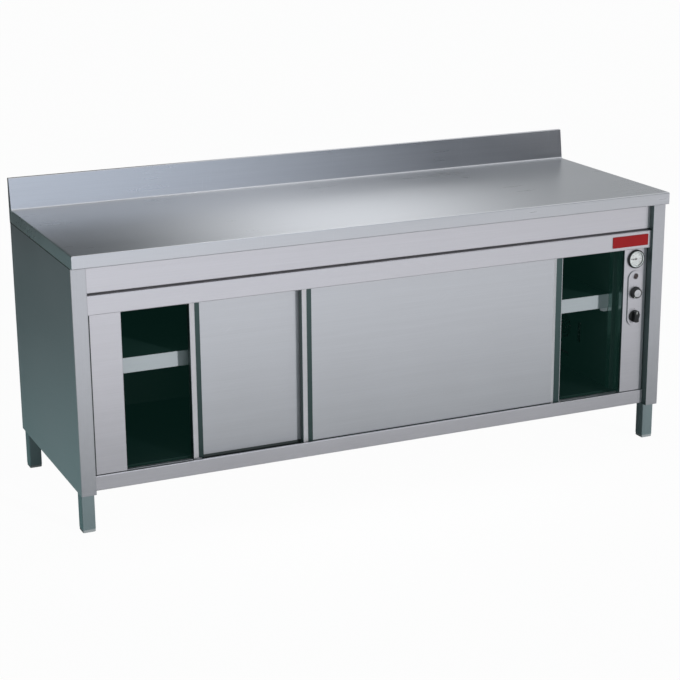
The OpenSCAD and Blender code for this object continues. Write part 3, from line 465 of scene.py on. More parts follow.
def zinc_sheet(name, tint):
    """Galvanised sheet with its spangle."""
    zinc = Finish(name, Metallic=0.85)
    facet = zinc.cells(95.0)
    cloud = zinc.noise(9.0, 3.0)
    zinc.set("Base Color", zinc.shade(tint, 0.72 + facet * 0.34 + cloud * 0.18))
    zinc.set("Roughness", 0.36 + facet * 0.18)
    zinc.bump(facet, 0.06, 0.4 * MM)
    return zinc.material


def cast_metal(name, tint, roughness, metallic=0.9):
    """Turned or pressed small metal parts."""
    metal = Finish(name, Metallic=metallic)
    cloud = metal.noise(30.0, 3.0)
    fine = metal.streaks("Y", 1500.0, 300.0)
    metal.set("Base Color", metal.shade(tint, 0.86 + cloud * 0.2 + fine * 0.08))
    metal.set("Roughness", roughness + cloud.swing(0.14))
    metal.bump(fine, 0.05, 0.2 * MM)
    return metal.material


def heater_tube(name):
    """Sheathed heating tube with oxide tints."""
    violet, straw, grey = (0.10, 0.085, 0.11), (0.26, 0.17, 0.09), (0.33, 0.31, 0.30)
    tube = Finish(name, Metallic=0.8)
    heat = tube.noise(24.0, 3.0)
    hot = tube.blend(tube.band(heat, 0.35, 0.55), violet, straw)
    tube.set("Base Color", tube.blend(tube.band(heat, 0.55, 0.75), hot, grey))
    tube.set("Roughness", 0.38 + heat * 0.25)
    tube.bump(tube.noise(700.0), 0.1, 0.2 * MM)
    return tube.material


def moulded_plastic(name, tint, roughness):
    """Moulded plastic with a fine spark-eroded grain, a little shinier where hands rub it."""
    plastic = Finish(name, Specular_IOR_Level=0.45)
    skin = plastic.noise(650.0)
    cloud = plastic.noise(40.0, 3.0)
    plastic.set("Base Color", plastic.shade(tint, 0.875 + cloud * 0.25))
    plastic.set("Roughness", roughness + cloud.swing(0.22))
    plastic.bump(skin, 0.15, 0.2 * MM)
    return plastic.material


def ringed_bezel(name, tint, ring, centre, radius):
    """Black moulded bezel with a white ring inside the radius."""
    bezel = Finish(name, Specular_IOR_Level=0.4)
    off = bezel.vector("SUBTRACT", bezel.place, centre)
    flat = bezel.vector("MULTIPLY", off, (1.0, 0.0, 1.0))
    away = bezel.vector("DISTANCE", flat, UNTURNED, output="Value")
    white = bezel.below(away, radius, 0.15 * MM)
    cloud = bezel.noise(40.0, 3.0)
    bezel.set("Base Color", bezel.shade(bezel.blend(white, tint, ring), 0.88 + cloud * 0.24))
    bezel.set("Roughness", 0.36 + white * 0.2 + cloud.swing(0.2))
    bezel.bump(bezel.noise(650.0), 0.12, 0.2 * MM)
    return bezel.material


def pressed_board(name):
    """Water-resistant chipboard under the worktop."""
    dark, pale = (0.24, 0.15, 0.075), (0.46, 0.33, 0.19)
    board = Finish(name)
    chip = board.cells(240.0)
    board.set("Base Color", board.blend(chip, dark, pale))
    board.set("Roughness", 0.75 + chip * 0.15)
    board.bump(chip, 0.25, 0.6 * MM)
    return board.material


def mineral_wool(name):
    """Bound mineral wool with lying fibres."""
    dark, pale = (0.20, 0.16, 0.075), (0.50, 0.43, 0.24)
    wool = Finish(name)
    fibres = wool.noise((60.0, 60.0, 900.0), 4.0, 0.65)
    lumps = wool.noise(35.0, 3.0)
    wool.set("Base Color", wool.blend(fibres, dark, pale))
    wool.set("Roughness", 0.88 + lumps * 0.1)
    wool.bump(fibres + lumps, 0.7, 3 * MM)
    return wool.material


def clear_glass(name):
    """Flat glass with a trace of dust."""
    white = (1.0, 1.0, 1.0)
    glass = Finish(name, Transmission_Weight=1.0, IOR=1.46)
    dust = glass.noise(160.0, 4.0)
    glass.set("Base Color", glass.shade(white, 0.985 - glass.band(dust, 0.6, 0.8) * 0.05))
    glass.set("Roughness", glass.band(dust, 0.55, 0.85, 0.01, 0.10))
    return glass.material


def lamp_lens(name, tint, centre):
    """Unlit coloured lens with moulded rings."""
    lens = Finish(name, Specular_IOR_Level=0.6)
    away = lens.vector("DISTANCE", lens.place, centre, output="Value")
    rings = lens.node("ShaderNodeMath", {"operation": "SINE"}, {0: away * 4200.0})
    cloud = lens.noise(300.0)
    lens.set("Base Color", lens.shade(tint, 0.75 + cloud * 0.4 + rings * 0.15))
    lens.set("Roughness", 0.16 + cloud * 0.14)
    lens.bump(rings, 0.3, 0.3 * MM)
    return lens.material


def enamel_plate(name, tint):
    """Glossy enamel with a slight orange peel and fine dust scratches."""
    plate = Finish(name, Specular_IOR_Level=0.25, Coat_Roughness=0.12)
    cloud = plate.noise(45.0, 3.0)
    scratch = plate.scratches(ACROSS_Y, 22.0, 900.0)
    plate.set("Base Color", plate.shade(tint, 0.88 + cloud * 0.24))
    plate.set("Roughness", 0.44 + cloud.swing(0.15) + scratch * 0.15)
    plate.set("Coat Weight", 0.06 - scratch * 0.05)
    plate.bump(plate.noise(380.0), 0.08, 0.2 * MM)
    return plate.material


def dial_paint(name, tint):
    """Matt printed dial, a little uneven in tone."""
    paint = Finish(name, Specular_IOR_Level=0.3)
    cloud = paint.noise(70.0, 3.0)
    speck = paint.noise(900.0)
    paint.set("Base Color", paint.shade(tint, 0.93 + cloud * 0.10 + speck.swing(0.06)))
    paint.set("Roughness", 0.55 + cloud * 0.2)
    paint.bump(speck, 0.06, 0.1 * MM)
    return paint.material


def printed_ink(name, tint):
    """Slightly uneven screen-printed ink."""
    ink = Finish(name, Specular_IOR_Level=0.3)
    cloud = ink.noise(500.0, 3.0)
    ink.set("Base Color", ink.shade(tint, 0.8 + cloud * 0.4))
    ink.set("Roughness", 0.45 + cloud * 0.25)
    return ink.material


def dress(finish, *slots):
    """Give a finish to every CAD node that has one of these material slots."""
    for slot in slots:
        for name in NODES_OF_SLOT[slot]:
            dress_node(finish, name)


def dress_node(finish, name):
    materials = frame["nodes"][name].data.materials
    materials.clear()
    materials.append(finish)


# Modelling as by hand

def begin(name, add, place, turn, scale=(1.0, 1.0, 1.0), **size):
    """Add a primitive at its size and place, and open it with nothing picked."""
    bpy.ops.object.select_all(action="DESELECT")
    add(location=place, rotation=turn, **size)
    piece = bpy.context.object
    piece.scale = scale
    piece.name = name
    piece.data.name = name
    bpy.ops.object.transform_apply(location=True, rotation=True, scale=True)
    bpy.ops.object.mode_set(mode="EDIT")
    bpy.ops.mesh.select_all(action="DESELECT")
    return piece


def block(name, place, size, turn=UNTURNED):
    return begin(name, bpy.ops.mesh.primitive_cube_add, place, turn, size, size=1.0)


def disc(name, place, radius, depth, corners):
    """A round plate whose axis runs from front to back."""
    return begin(
        name, bpy.ops.mesh.primitive_cylinder_add, place, FACING_FRONT,
        vertices=corners, radius=radius, depth=depth)


def pick(kind, test):
    """Select the faces or edges of the open piece that pass a test."""
    bpy.ops.mesh.select_mode(type=kind)
    bpy.ops.mesh.select_all(action="DESELECT")
    piece = bpy.context.edit_object
    mesh = bmesh.from_edit_mesh(piece.data)
    items = mesh.edges if kind == "EDGE" else mesh.faces
    chosen = [item for item in items if test(item)]
    if not chosen:
        raise RuntimeError(f"nothing to pick on {piece.name}")
    for item in chosen:
        item.select_set(True)
    mesh.select_flush_mode()
    bmesh.update_edit_mesh(piece.data)


def facing(way):
    return lambda face: face.normal.dot(way) > 0.9


def rim_of(way):
    """Edges round the faces that look one way."""
    def test(edge):
        looks = [face.normal.dot(way) for face in edge.link_faces]
        return len(looks) == 2 and max(looks) > 0.9 and min(looks) < 0.3
    return test


def lying_along(axis):
    """Straight edges along an axis."""
    def test(edge):
        run = edge.verts[1].co - edge.verts[0].co
        return abs(run.normalized().dot(axis)) > 0.99
    return test


def soften(test, radius, segments):
    """Round the edges that pass a test."""
    pick("EDGE", test)
    bpy.ops.mesh.bevel(offset=radius, segments=segments)


def extrude(move):
    bpy.ops.mesh.extrude_region_move(TRANSFORM_OT_translate={"value": move})


def done(piece, body, finish):
    """Close a piece, smooth it, finish it and let it ride on a body."""
    bpy.ops.object.mode_set(mode="OBJECT")
    bpy.ops.object.select_all(action="DESELECT")
    piece.select_set(True)
    bpy.context.view_layer.objects.active = piece
    bpy.ops.object.shade_smooth_by_angle(angle=math.radians(35))
    piece.data.materials.clear()
    piece.data.materials.append(finish)
    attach(piece, body)


def middle_of(node):
    low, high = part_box(node)
    return (low + high) / 2


def clock(centre, radius, degrees, y):
    """A point round a dial: 0 points left, and angles go clockwise as seen from the front."""
    turn = math.radians(degrees)
    return Vector((centre.x - radius * math.cos(turn), y, centre.z + radius * math.sin(turn)))


def ring_of_ticks(name, centre, outer, y, rows):
    """Ticks round a scale, as one mesh; a row is a count of steps, a length and a width."""
    turn = (0.0, math.radians(SCALE_START), 0.0)
    ticks = None
    for steps, long, wide in rows:
        place = clock(centre, outer - long / 2, SCALE_START, y)
        size = (long, INK_THICKNESS, wide)
        if ticks is None:
            ticks = block(name, place, size, turn)
            bpy.ops.mesh.select_all(action="SELECT")
        else:
            bpy.ops.mesh.select_all(action="DESELECT")
            bpy.ops.mesh.primitive_cube_add(size=1.0, location=place, rotation=turn, scale=size)
        bpy.ops.mesh.spin(
            steps=steps, dupli=True, angle=math.radians(SCALE_SWEEP),
            center=(centre.x, y, centre.z), axis=(0.0, 1.0, 0.0))
    return ticks


def write(name, words, height):
    """Flat lettering that faces the front, as one mesh; words are pairs of text and place."""
    made = []
    for text, place in words:
        bpy.ops.object.select_all(action="DESELECT")
        bpy.ops.object.text_add(location=place, rotation=FACING_FRONT)
        letters = bpy.context.object
        letters.data.body = text
        letters.data.size = height
        letters.data.extrude = INK_THICKNESS / 2
        letters.data.align_x = "CENTER"
        letters.data.align_y = "CENTER"
        bpy.ops.object.convert(target="MESH")
        bpy.ops.object.transform_apply(location=True, rotation=True, scale=True)
        made.append(bpy.context.object)
    bpy.ops.object.select_all(action="DESELECT")
    for letters in made:
        letters.select_set(True)
    bpy.context.view_layer.objects.active = made[0]
    bpy.ops.object.join()
    made[0].name = name
    made[0].data.name = name
    return made[0]


# Operators

class CUPBOARD_OT_casing(bpy.types.Operator):
    """Brush the worktop, casing, legs and door trough"""

    bl_idname = "cupboard.casing"
    bl_label = "Casing and worktop"

    def execute(self, context):
        steel = context.scene.cupboard_steel
        # The second value is the painted shade for the faces that look left
        rough, left_shade = steel.roughness, steel.returns
        upstand_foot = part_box("worktop")[1].z - 98 * MM
        # Casing and far side panel: painted shade on the faces that look left
        dress(
            brushed_steel("casing_steel", steel.casing, rough, "X", ACROSS_Y, returns=left_shade),
            "stainless", "plate_steel", "inner_steel")
        dress_node(
            brushed_steel("side_steel", steel.sides, rough, "Y", ACROSS_X), "left_side_panel")
        dress_node(
            brushed_steel("far_side_steel", steel.sides, rough, "Y", ACROSS_X, returns=left_shade),
            "right_side_panel")
        # Corner posts: darker steel as painted shade, with more painted shade on their left-hand faces
        dress_node(
            brushed_steel("post_steel", steel.legs, rough, "Z", ACROSS_Y, returns=steel.leg_sides),
            "corner_posts")
        # Worktop: painted light on its left-hand faces
        dress_node(
            brushed_steel(
                "worktop_steel", steel.worktop, steel.worktop_roughness, "X", ACROSS_Z,
                metallic=0.72, returns=steel.worktop_sides, mirror_above=upstand_foot),
            "worktop")
        # Door trough: near-black steel as painted shade
        dress_node(
            brushed_steel("track_steel", steel.track, steel.track_roughness, "X", ACROSS_Z),
            "door_trough")
        return {"FINISHED"}


class CUPBOARD_OT_doors(bpy.types.Operator):
    """Brush the sliding doors"""

    bl_idname = "cupboard.doors"
    bl_label = "Sliding doors"

    def execute(self, context):
        steel = context.scene.cupboard_steel
        # Door steel: painted shade on the faces that look left, painted highlight on the grips'
        # right-hand slopes
        dress(
            brushed_steel(
                "door_steel", steel.doors, steel.roughness, "X", ACROSS_Y,
                returns=steel.returns, right_highlight=steel.grips),
            "door_steel")
        return {"FINISHED"}


class CUPBOARD_OT_inside(bpy.types.Operator):
    """Finish the lining, shelf, insulation and warm-air unit"""

    bl_idname = "cupboard.inside"
    bl_label = "Inside and warm-air unit"

    def execute(self, context):
        steel = context.scene.cupboard_steel
        # The lining, rear wall, floor, shelf and partition get near-black colours as painted shade
        lining = dark_enamel("lining_enamel", steel.lining)
        for name in ("ceiling_panel", "left_liner"):
            dress_node(lining, name)
        dress_node(dark_enamel("rear_enamel", steel.rear), "rear_liner")
        dress_node(dark_enamel("floor_enamel", steel.floor), "base_pan")
        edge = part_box("middle_shelf")[0].y + 1.4 * MM
        dress_node(lipped_shelf("shelf_enamel", steel.shelf, steel.lip, edge), "middle_shelf")
        dress_node(
            polished_wall("partition_steel", steel.partition, steel.polished, edge), "bay_partition")
        dress(zinc_sheet("zinc_sheet", steel.zinc), "galvanised")
        dress(cast_metal("cast_aluminium", steel.aluminium, 0.42), "aluminium")
        dress(heater_tube("heater_tube"), "heater_steel")
        dress(pressed_board("pressed_board"), "board")
        dress(mineral_wool("mineral_wool"), "mineral_wool")
        for name, tint, roughness, slot in HIDDEN_PLASTICS:
            dress(moulded_plastic(name, tint, roughness), slot)
        return {"FINISHED"}


class CUPBOARD_OT_fittings(bpy.types.Operator):
    """Finish the knobs, thermometer, lamp, rollers and feet"""

    bl_idname = "cupboard.fittings"
    bl_label = "Knobs, thermometer and feet"

    def execute(self, context):
        look = context.scene.cupboard_fittings
        dress(moulded_plastic("black_plastic", look.plastic, 0.34), "black_plastic")
        centre = middle_of("thermometer_bezel")
        dress_node(
            ringed_bezel("bezel_plastic", look.plastic, look.dial, centre, look.bezel_ring),
            "thermometer_bezel")
        for name, tint, roughness, slot in FITTING_PLASTICS:
            dress(moulded_plastic(name, tint, roughness), slot)
        dress(printed_ink("needle_enamel", look.ink), "black_enamel")
        dress(dial_paint("dial_paint", look.dial), "dial_white")
        dress(lamp_lens("lamp_lens", look.lens, middle_of("pilot_lamp")), "lamp_lens")
        dress(clear_glass("clear_glass"), "glass")
        dress(cast_metal("bright_cap", look.cap, 0.24), "bright_cap")
        return {"FINISHED"}


class CUPBOARD_OT_badge(bpy.types.Operator):
    """Make the bare badge plate on the door header"""

    bl_idname = "cupboard.badge"
    bl_label = "Badge plate"

    def execute(self, context):
        look = context.scene.cupboard_fittings
        corner, rim, step = 2.5 * MM, 1.5 * MM, 0.5 * MM
        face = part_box("door_header")[0].y
        size = Vector((look.badge_length, look.badge_thickness, look.badge_height))
        place = (look.badge_end - size.x / 2, face - size.y / 2, look.badge_middle)
        plate = block("badge_plate", place, size)
        soften(lying_along(BACK), corner, 5)
        pick("FACE", facing(FRONT))
        bpy.ops.mesh.inset(thickness=rim, depth=0.0)
        bpy.ops.mesh.inset(thickness=step, depth=-step)
        soften(rim_of(FRONT), 0.25 * MM, 2)
        done(plate, "root", enamel_plate("badge_enamel", look.badge))
        return {"FINISHED"}


class CUPBOARD_OT_dial(bpy.types.Operator):
    """Make the thermometer's ticks and numbers and the needle's hub"""

    bl_idname = "cupboard.dial"
    bl_label = "Thermometer dial"

    def execute(self, context):
        look = context.scene.cupboard_fittings
        ink = printed_ink("dial_ink", look.dial_ink)
        centre = middle_of("thermometer_dial")
        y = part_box("thermometer_dial")[0].y - INK_THICKNESS / 2
        short_row, long_row = (60, 1.8 * MM, 0.28 * MM), (12, 3.2 * MM, 0.6 * MM)
        ticks = ring_of_ticks("dial_ticks", centre, look.tick_radius, y, (short_row, long_row))
        done(ticks, "root", ink)

        highest, between, height = 120, 20, 5.0 * MM
        words = []
        for number in range(0, highest + 1, between):
            at = SCALE_START + SCALE_SWEEP * number / highest
            words.append((str(number), clock(centre, look.number_radius, at, y)))
        done(write("dial_numbers", words, height), "root", ink)

        radius, depth, crown, dimple = 3.2 * MM, 0.8 * MM, 0.2 * MM, 0.25 * MM
        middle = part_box("thermometer_needle")[0].y - 0.3 * MM
        hub = disc("needle_hub", (centre.x, middle, centre.z), radius, depth, 40)
        pick("FACE", facing(FRONT))
        bpy.ops.mesh.inset(thickness=1.0 * MM, depth=crown)
        bpy.ops.mesh.inset(thickness=0.9 * MM, depth=-dimple)
        soften(rim_of(FRONT), 0.15 * MM, 2)
        done(hub, "thermometer_needle", cast_metal("hub_enamel", look.hub, 0.4, metallic=0.0))
        return {"FINISHED"}


class CUPBOARD_OT_knob_marks(bpy.types.Operator):
    """Make the pointer lines of the two knobs and the marks printed round them"""

    bl_idname = "cupboard.knob_marks"
    bl_label = "Knob pointers and marks"

    def pointer(self, name, knob, inner, outer, degrees, finish):
        """A raised rounded line on the front of a knob, from an inner to an outer radius."""
        depth, width, sunk = 0.8 * MM, 1.8 * MM, 0.1 * MM
        low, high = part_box(knob)
        place = clock((low + high) / 2, (inner + outer) / 2, degrees, low.y + sunk)
        turn = (0.0, math.radians(degrees), 0.0)
        line = block(name, place, (outer - inner, depth, width), turn)
        soften(lying_along(BACK), 0.8 * MM, 4)
        soften(rim_of(FRONT), 0.2 * MM, 2)
        done(line, knob, finish)

    def execute(self, context):
        look = context.scene.cupboard_fittings
        low_mark, off, on = SCALE_START, 90.0, 180.0
        white = printed_ink("pointer_paint", look.mark)
        self.pointer("thermostat_pointer", "thermostat_knob", 13.6 * MM, 18.6 * MM, low_mark, white)
        self.pointer("switch_pointer", "switch_knob", 9.0 * MM, 18.0 * MM, off, white)

        ink = printed_ink("plate_ink", look.ink)
        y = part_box("control_plate")[0].y - INK_THICKNESS / 2
        row = (9, 2.6 * MM, 0.7 * MM)
        scale = ring_of_ticks("thermostat_scale", middle_of("thermostat_knob"), 24.5 * MM, y, (row,))
        done(scale, "root", ink)
        centre, radius, height = middle_of("switch_knob"), 23.6 * MM, 5.4 * MM
        words = (("0", clock(centre, radius, off, y)), ("1", clock(centre, radius, on, y)))
        done(write("switch_numbers", words, height), "root", ink)
        return {"FINISHED"}


class CUPBOARD_OT_lamp_collar(bpy.types.Operator):
    """Make the bright collar round the pilot lamp"""

    bl_idname = "cupboard.lamp_collar"
    bl_label = "Lamp collar"

    def execute(self, context):
        look = context.scene.cupboard_fittings
        depth, wall, gap = 2.4 * MM, 2.0 * MM, 0.2 * MM
        low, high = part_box("pilot_lamp")
        centre = (low + high) / 2
        bore = (high.x - low.x) / 2 + gap
        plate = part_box("control_plate")[0].y
        place = (centre.x, plate - depth / 2, centre.z)
        collar = disc("lamp_collar", place, bore + wall, depth, 56)
        pick("FACE", lambda face: abs(face.normal.y) > 0.9)
        bpy.ops.mesh.inset(thickness=wall, depth=0.0, use_individual=True)
        pick("FACE", lambda face: abs(face.normal.y) > 0.9 and len(face.verts) > 8)
        bpy.ops.mesh.delete(type="FACE")
        pick("EDGE", lambda edge: len(edge.link_faces) == 1)
        bpy.ops.mesh.bridge_edge_loops()
        soften(rim_of(FRONT), 0.6 * MM, 3)
        done(collar, "root", cast_metal("collar_chrome", look.collar, 0.2))
        return {"FINISHED"}


class CUPBOARD_OT_rivets(bpy.types.Operator):
    """Make the blind rivets that hold the back panel"""

    bl_idname = "cupboard.rivets"
    bl_label = "Back panel rivets"

    def execute(self, context):
        look = context.scene.cupboard_fittings
        radius, depth, crown, hole = look.rivet_radius, 1.1 * MM, 0.45 * MM, 1.0 * MM
        columns, sheet, from_side, from_edge = 8, 1.0 * MM, 26 * MM, 22 * MM
        low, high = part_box("back_panel")
        end = high.x - from_side
        spots = []
        for column in range(columns):
            x = -end + column * 2 * end / (columns - 1)
            spots += [(x, low.z + from_edge), (x, high.z - from_edge)]
        first_x, first_z = spots[0]
        first = disc(
            "back_rivet_01", (first_x, low.y + sheet + depth / 2, first_z), radius, depth, 28)
        pick("FACE", facing(BACK))
        bpy.ops.mesh.inset(thickness=radius * 0.42, depth=crown)
        bpy.ops.mesh.inset(thickness=radius * 0.2, depth=0.0)
        bpy.ops.mesh.inset(thickness=radius * 0.06, depth=-hole)
        soften(rim_of(BACK), 0.25 * MM, 2)
        done(first, "root", cast_metal("rivet_steel", look.rivet, 0.35))
        for number, (x, z) in enumerate(spots[1:], 2):
            copy = first.copy()
            copy.data = first.data.copy()
            copy.name = copy.data.name = f"back_rivet_{number:02d}"
            context.collection.objects.link(copy)
            copy.data.transform(Matrix.Translation((x - first_x, 0.0, z - first_z)))
            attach(copy, "root")
        return {"FINISHED"}


class CUPBOARD_OT_seals(bpy.types.Operator):
    """Make the dark seals of the worktop and of the doors, and a dark strip by the infill panel as
    painted shade
    """

    bl_idname = "cupboard.seals"
    bl_label = "Seals"

    def strip(self, name, place, size, way, margin, radius):
        """A rubber strip with a rounded face that looks one way."""
        strip = block(name, place, size)
        pick("FACE", facing(way))
        bpy.ops.mesh.inset(thickness=margin, depth=0.0)
        soften(rim_of(way), radius, 3)
        return strip

    def execute(self, context):
        look = context.scene.cupboard_fittings
        rubber = moulded_plastic("seal_rubber", look.seal, 0.60)
        gap, sunk = 1.0 * MM, 0.3 * MM

        height, proud = 3.0 * MM, 0.6 * MM
        for side, way in (("left", LEFT), ("right", RIGHT)):
            low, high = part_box(f"{side}_side_panel")
            outer = low.x if way is LEFT else high.x
            size = Vector((proud + sunk, high.y - low.y - 2 * gap, height))
            place = (outer + way.x * (proud - sunk) / 2, (low.y + high.y) / 2, high.z - height / 2)
            bead = self.strip(f"{side}_worktop_seal", place, size, way, 0.5 * MM, 0.35 * MM)
            done(bead, "root", rubber)

        top, grip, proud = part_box("bottom_rail")[1].z - 0.5 * MM, 32.0 * MM, 0.8 * MM
        for side in ("left", "right"):
            low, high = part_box(f"{side}_door_skin")
            foot = low.z + gap
            size = Vector((high.x - low.x - 2 * grip, proud + sunk, top - foot))
            place = ((low.x + high.x) / 2, low.y - (proud - sunk) / 2, (foot + top) / 2)
            wiper = self.strip(f"{side}_door_seal", place, size, FRONT, 0.6 * MM, 0.4 * MM)
            done(wiper, f"{side}_door", rubber)

        # A dark rubber strip along the infill panel's left edge, put there as painted shade for the
        # shadow in its joint
        width, depth = 10.0 * MM, 6.0 * MM
        low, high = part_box("left_infill_panel")
        size = Vector((width, depth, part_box("door_header")[0].z - low.z - 2 * gap))
        place = (low.x + width / 2, low.y - depth / 2, low.z + gap + size.z / 2)
        shade_fillet = block("left_infill_shade_strip", place, size)
        soften(lambda edge: all(
            corner.co.x > place[0] and corner.co.y < place[1] for corner in edge.verts),
            5.5 * MM, 6)
        done(shade_fillet, "root", rubber)
        return {"FINISHED"}


class CUPBOARD_OT_closer(bpy.types.Operator):
    """Make the folded strip that shuts the control bay off from the warm compartment"""

    bl_idname = "cupboard.closer"
    bl_label = "Bay closing strip"

    def execute(self, context):
        steel = context.scene.cupboard_steel
        sheet, foot = 1.2 * MM, 5.5 * MM
        overlap, door_gap, fit, clear = 15 * MM, 0.8 * MM, 0.4 * MM, 2 * MM
        doors_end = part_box("control_panel")[0].x + overlap
        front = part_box("control_panel")[1].y + fit
        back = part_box("bay_partition")[0].y - fit
        low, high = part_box("bottom_guides")[1].z + clear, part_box("top_track")[0].z - clear
        place = Vector((doors_end + door_gap + sheet / 2, back - sheet / 2, (low + high) / 2))
        strip = block("bay_closing_strip", place, (sheet, sheet, high - low))
        pick("FACE", facing(FRONT))
        extrude((0.0, front - back + sheet, 0.0))
        pick("FACE", lambda face: (
            face.normal.x > 0.9 and face.calc_center_median().y > back - sheet))
        extrude((foot, 0.0, 0.0))
        upright = lying_along(UP)
        soften(lambda edge: upright(edge) and all(
            corner.co.x < place.x and corner.co.y > place.y for corner in edge.verts),
            1.0 * MM, 4)
        done(strip, "root", polished_wall("strip_steel", steel.partition, steel.polished, back))
        return {"FINISHED"}


# Cards that only show in metal: name, two corners, colour, and bands of brightness, each with
# the axis, where it starts and ends, and how bright it is there
GROUND = -0.2 * MM
CARDS = (
    # Painted shade: the front card darkens towards the cupboard, in place of the floor's shade near it
    # as metal sees it
    ("front_card", (-4.0, -4.4, GROUND), (6.0, -0.36, GROUND), (0.98, 0.97, 1.0),
     [("Y", -2.9, -0.3, 1.06, 0.06), ("X", -0.8, 3.4, 1.0, 0.88)]),
    # Painted shadow: a dark card under the cupboard that metal sees in place of the floor's shadow
    # there
    ("under_shadow_card", (-1.0, -0.36, GROUND), (1.2, 0.9, GROUND), (0.75, 1.0, 1.0),
     [("Y", -0.36, 0.1, 0.08, 0.06)]),
    # Painted shadow: a dim card to the left that metal sees in place of the cupboard's shadow on the
    # floor there
    ("left_shadow_card", (-3.8, -0.36, GROUND), (-1.0, 4.8, GROUND), (0.62, 1.0, 1.0),
     [("Y", -0.2, 2.4, 0.29, 0.10)]),
    ("back_card", (-5.0, 3.4, 0.0), (7.0, 3.4, 5.0), (0.96, 0.98, 1.0),
     [("X", 0.15, 1.45, 0.03, 1.0), ("X", 1.7, 3.0, 1.0, 0.5)]),
    ("far_card", (-1.0, -5.6, 0.0), (9.0, -5.6, 6.0), (0.88, 0.97, 1.10),
     [("X", 0.6, 4.1, 1.0, 0.03)]),
)


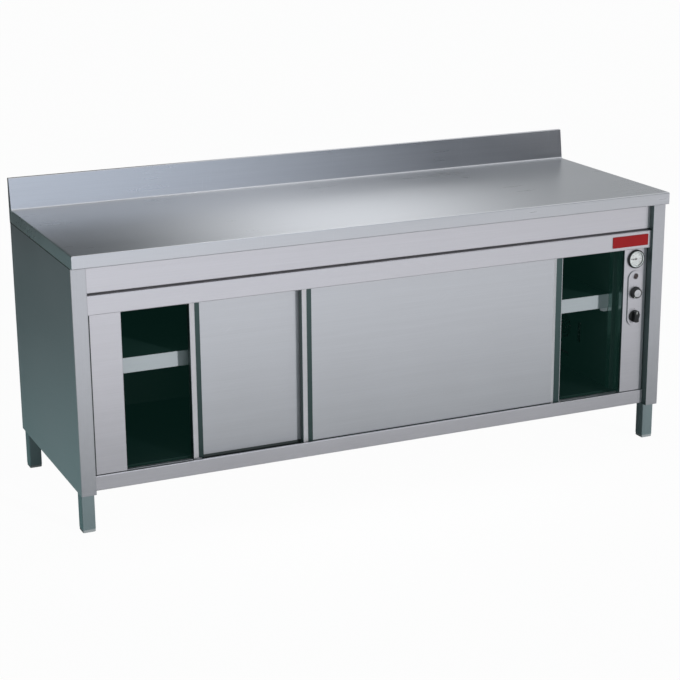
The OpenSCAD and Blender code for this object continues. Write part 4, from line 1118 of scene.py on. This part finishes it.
class CUPBOARD_OT_studio(bpy.types.Operator):
    """Set up the camera, lamps, white floor and reflecting cards"""

    bl_idname = "cupboard.studio"
    bl_label = "Studio"

    def camera(self, context, studio):
        bpy.ops.object.camera_add()
        camera = context.object
        camera.name = "photo_camera"
        camera.data.sensor_width = 36.0
        camera.data.lens = studio.lens
        camera.data.clip_end = 200.0
        turn = (
            Matrix.Rotation(studio.yaw, 4, "Z")
            @ Matrix.Rotation(math.pi / 2 + studio.pitch, 4, "X")
            @ Matrix.Rotation(studio.roll, 4, "Z"))
        camera.matrix_world = Matrix.Translation(studio.place) @ turn
        context.scene.camera = camera

    def sky(self, context, studio):
        world = bpy.data.worlds.new("studio")
        world.use_nodes = True
        context.scene.world = world
        sky = Nodes(world.node_tree)
        background = world.node_tree.nodes["Background"]
        sky.join(sky.blend(sky.seen(), studio.sky, (1.0, 1.0, 1.0)), background.inputs["Color"])

    def floor(self, context, studio):
        bpy.ops.object.select_all(action="DESELECT")
        bpy.ops.mesh.primitive_plane_add(size=80.0, location=(0.0, 0.0, -0.5 * MM))
        floor = context.object
        floor.name = "studio_floor"
        bpy.ops.object.transform_apply(location=True, rotation=True, scale=True)
        paper = Finish("floor_paper")
        lit = paper.node("ShaderNodeBsdfDiffuse", {}, {"Color": studio.floor})
        white = paper.node("ShaderNodeEmission", {}, {"Color": (1.0, 1.0, 1.0), "Strength": 1.0})
        paper.surface(paper.node(
            "ShaderNodeMixShader", {}, {0: paper.seen() * studio.floor_glow, 1: lit, 2: white}))
        floor.data.materials.append(paper.material)

    def lamp(self, context, kind, name, place, target):
        """A lamp that lights things but does not show in metal."""
        bpy.ops.object.light_add(type=kind, location=place)
        lamp = context.object
        lamp.name = name
        lamp.visible_glossy = False
        aim = Vector(target) - Vector(place)
        lamp.rotation_euler = aim.to_track_quat("-Z", "Y").to_euler()
        return lamp.data

    def lamps(self, context, studio):
        key = self.lamp(context, "SUN", "key_lamp", studio.key_place, studio.aim)
        key.energy = studio.key
        key.angle = studio.key_spread
        fill = self.lamp(context, "AREA", "fill_lamp", studio.fill_place, studio.aim)
        fill.energy = studio.fill
        fill.shape = "DISK"
        fill.size = studio.fill_size
        straight_down = Vector(studio.top_place) - UP
        top = self.lamp(context, "SPOT", "top_lamp", studio.top_place, straight_down)
        top.energy = studio.top
        top.spot_size = studio.top_spread
        top.spot_blend = 1.0
        top.shadow_soft_size = studio.top_size

    def card(self, context, name, low, high, tint, bands):
        """A card that only shows in metal, as bright as the product of its bands."""
        low, high = Vector(low), Vector(high)
        size = high - low
        bpy.ops.object.select_all(action="DESELECT")
        bpy.ops.mesh.primitive_plane_add(size=1.0)
        card = context.object
        card.name = name
        upright = size.y == 0
        card.rotation_euler = FACING_FRONT if upright else UNTURNED
        card.scale = (size.x, size.z if upright else size.y, 1.0)
        card.location = (low + high) / 2
        bpy.ops.object.transform_apply(location=True, rotation=True, scale=True)
        for ray in ("camera", "diffuse", "transmission", "volume_scatter", "shadow"):
            setattr(card, f"visible_{ray}", False)
        paper = Finish(name)
        tone, *others = [paper.band(paper.along(axis), *reach) for axis, *reach in bands]
        for other in others:
            tone = tone * other
        paper.surface(paper.node(
            "ShaderNodeEmission", {}, {"Color": paper.shade(tint, tone), "Strength": 1.0}))
        card.data.materials.append(paper.material)

    def execute(self, context):
        studio = context.scene.cupboard_studio
        context.scene.view_settings.view_transform = "Standard"
        self.camera(context, studio)
        self.sky(context, studio)
        self.floor(context, studio)
        self.lamps(context, studio)
        for card in CARDS:
            self.card(context, *card)
        return {"FINISHED"}


OPERATORS = (
    CUPBOARD_OT_studio, CUPBOARD_OT_casing, CUPBOARD_OT_doors, CUPBOARD_OT_inside,
    CUPBOARD_OT_fittings, CUPBOARD_OT_badge, CUPBOARD_OT_dial, CUPBOARD_OT_knob_marks,
    CUPBOARD_OT_lamp_collar, CUPBOARD_OT_rivets, CUPBOARD_OT_seals, CUPBOARD_OT_closer,
)
SETTINGS = {
    "cupboard_steel": CupboardSteel,
    "cupboard_fittings": CupboardFittings,
    "cupboard_studio": CupboardStudio,
}


class CUPBOARD_PT_panel(bpy.types.Panel):
    """Lists the settings and the steps that dress the cupboard"""

    bl_idname = "CUPBOARD_PT_panel"
    bl_label = "Hot cupboard"
    bl_space_type = "VIEW_3D"
    bl_region_type = "UI"
    bl_category = "Hot cupboard"

    def draw(self, context):
        for name in SETTINGS:
            box = self.layout.box()
            group = getattr(context.scene, name)
            for field in group.bl_rna.properties.keys():
                if field not in {"rna_type", "name"}:
                    box.prop(group, field)
        for operator in OPERATORS:
            self.layout.operator(operator.bl_idname)


CLASSES = (*SETTINGS.values(), *OPERATORS, CUPBOARD_PT_panel)


def register():
    for item in CLASSES:
        bpy.utils.register_class(item)
    for name, group in SETTINGS.items():
        setattr(bpy.types.Scene, name, bpy.props.PointerProperty(type=group))


def unregister():
    for name in SETTINGS:
        delattr(bpy.types.Scene, name)
    for item in reversed(CLASSES):
        bpy.utils.unregister_class(item)


def main():
    register()
    for operator in OPERATORS:
        area, name = operator.bl_idname.split(".")
        getattr(getattr(bpy.ops, area), name)()


if __name__ == "__main__":
    main()
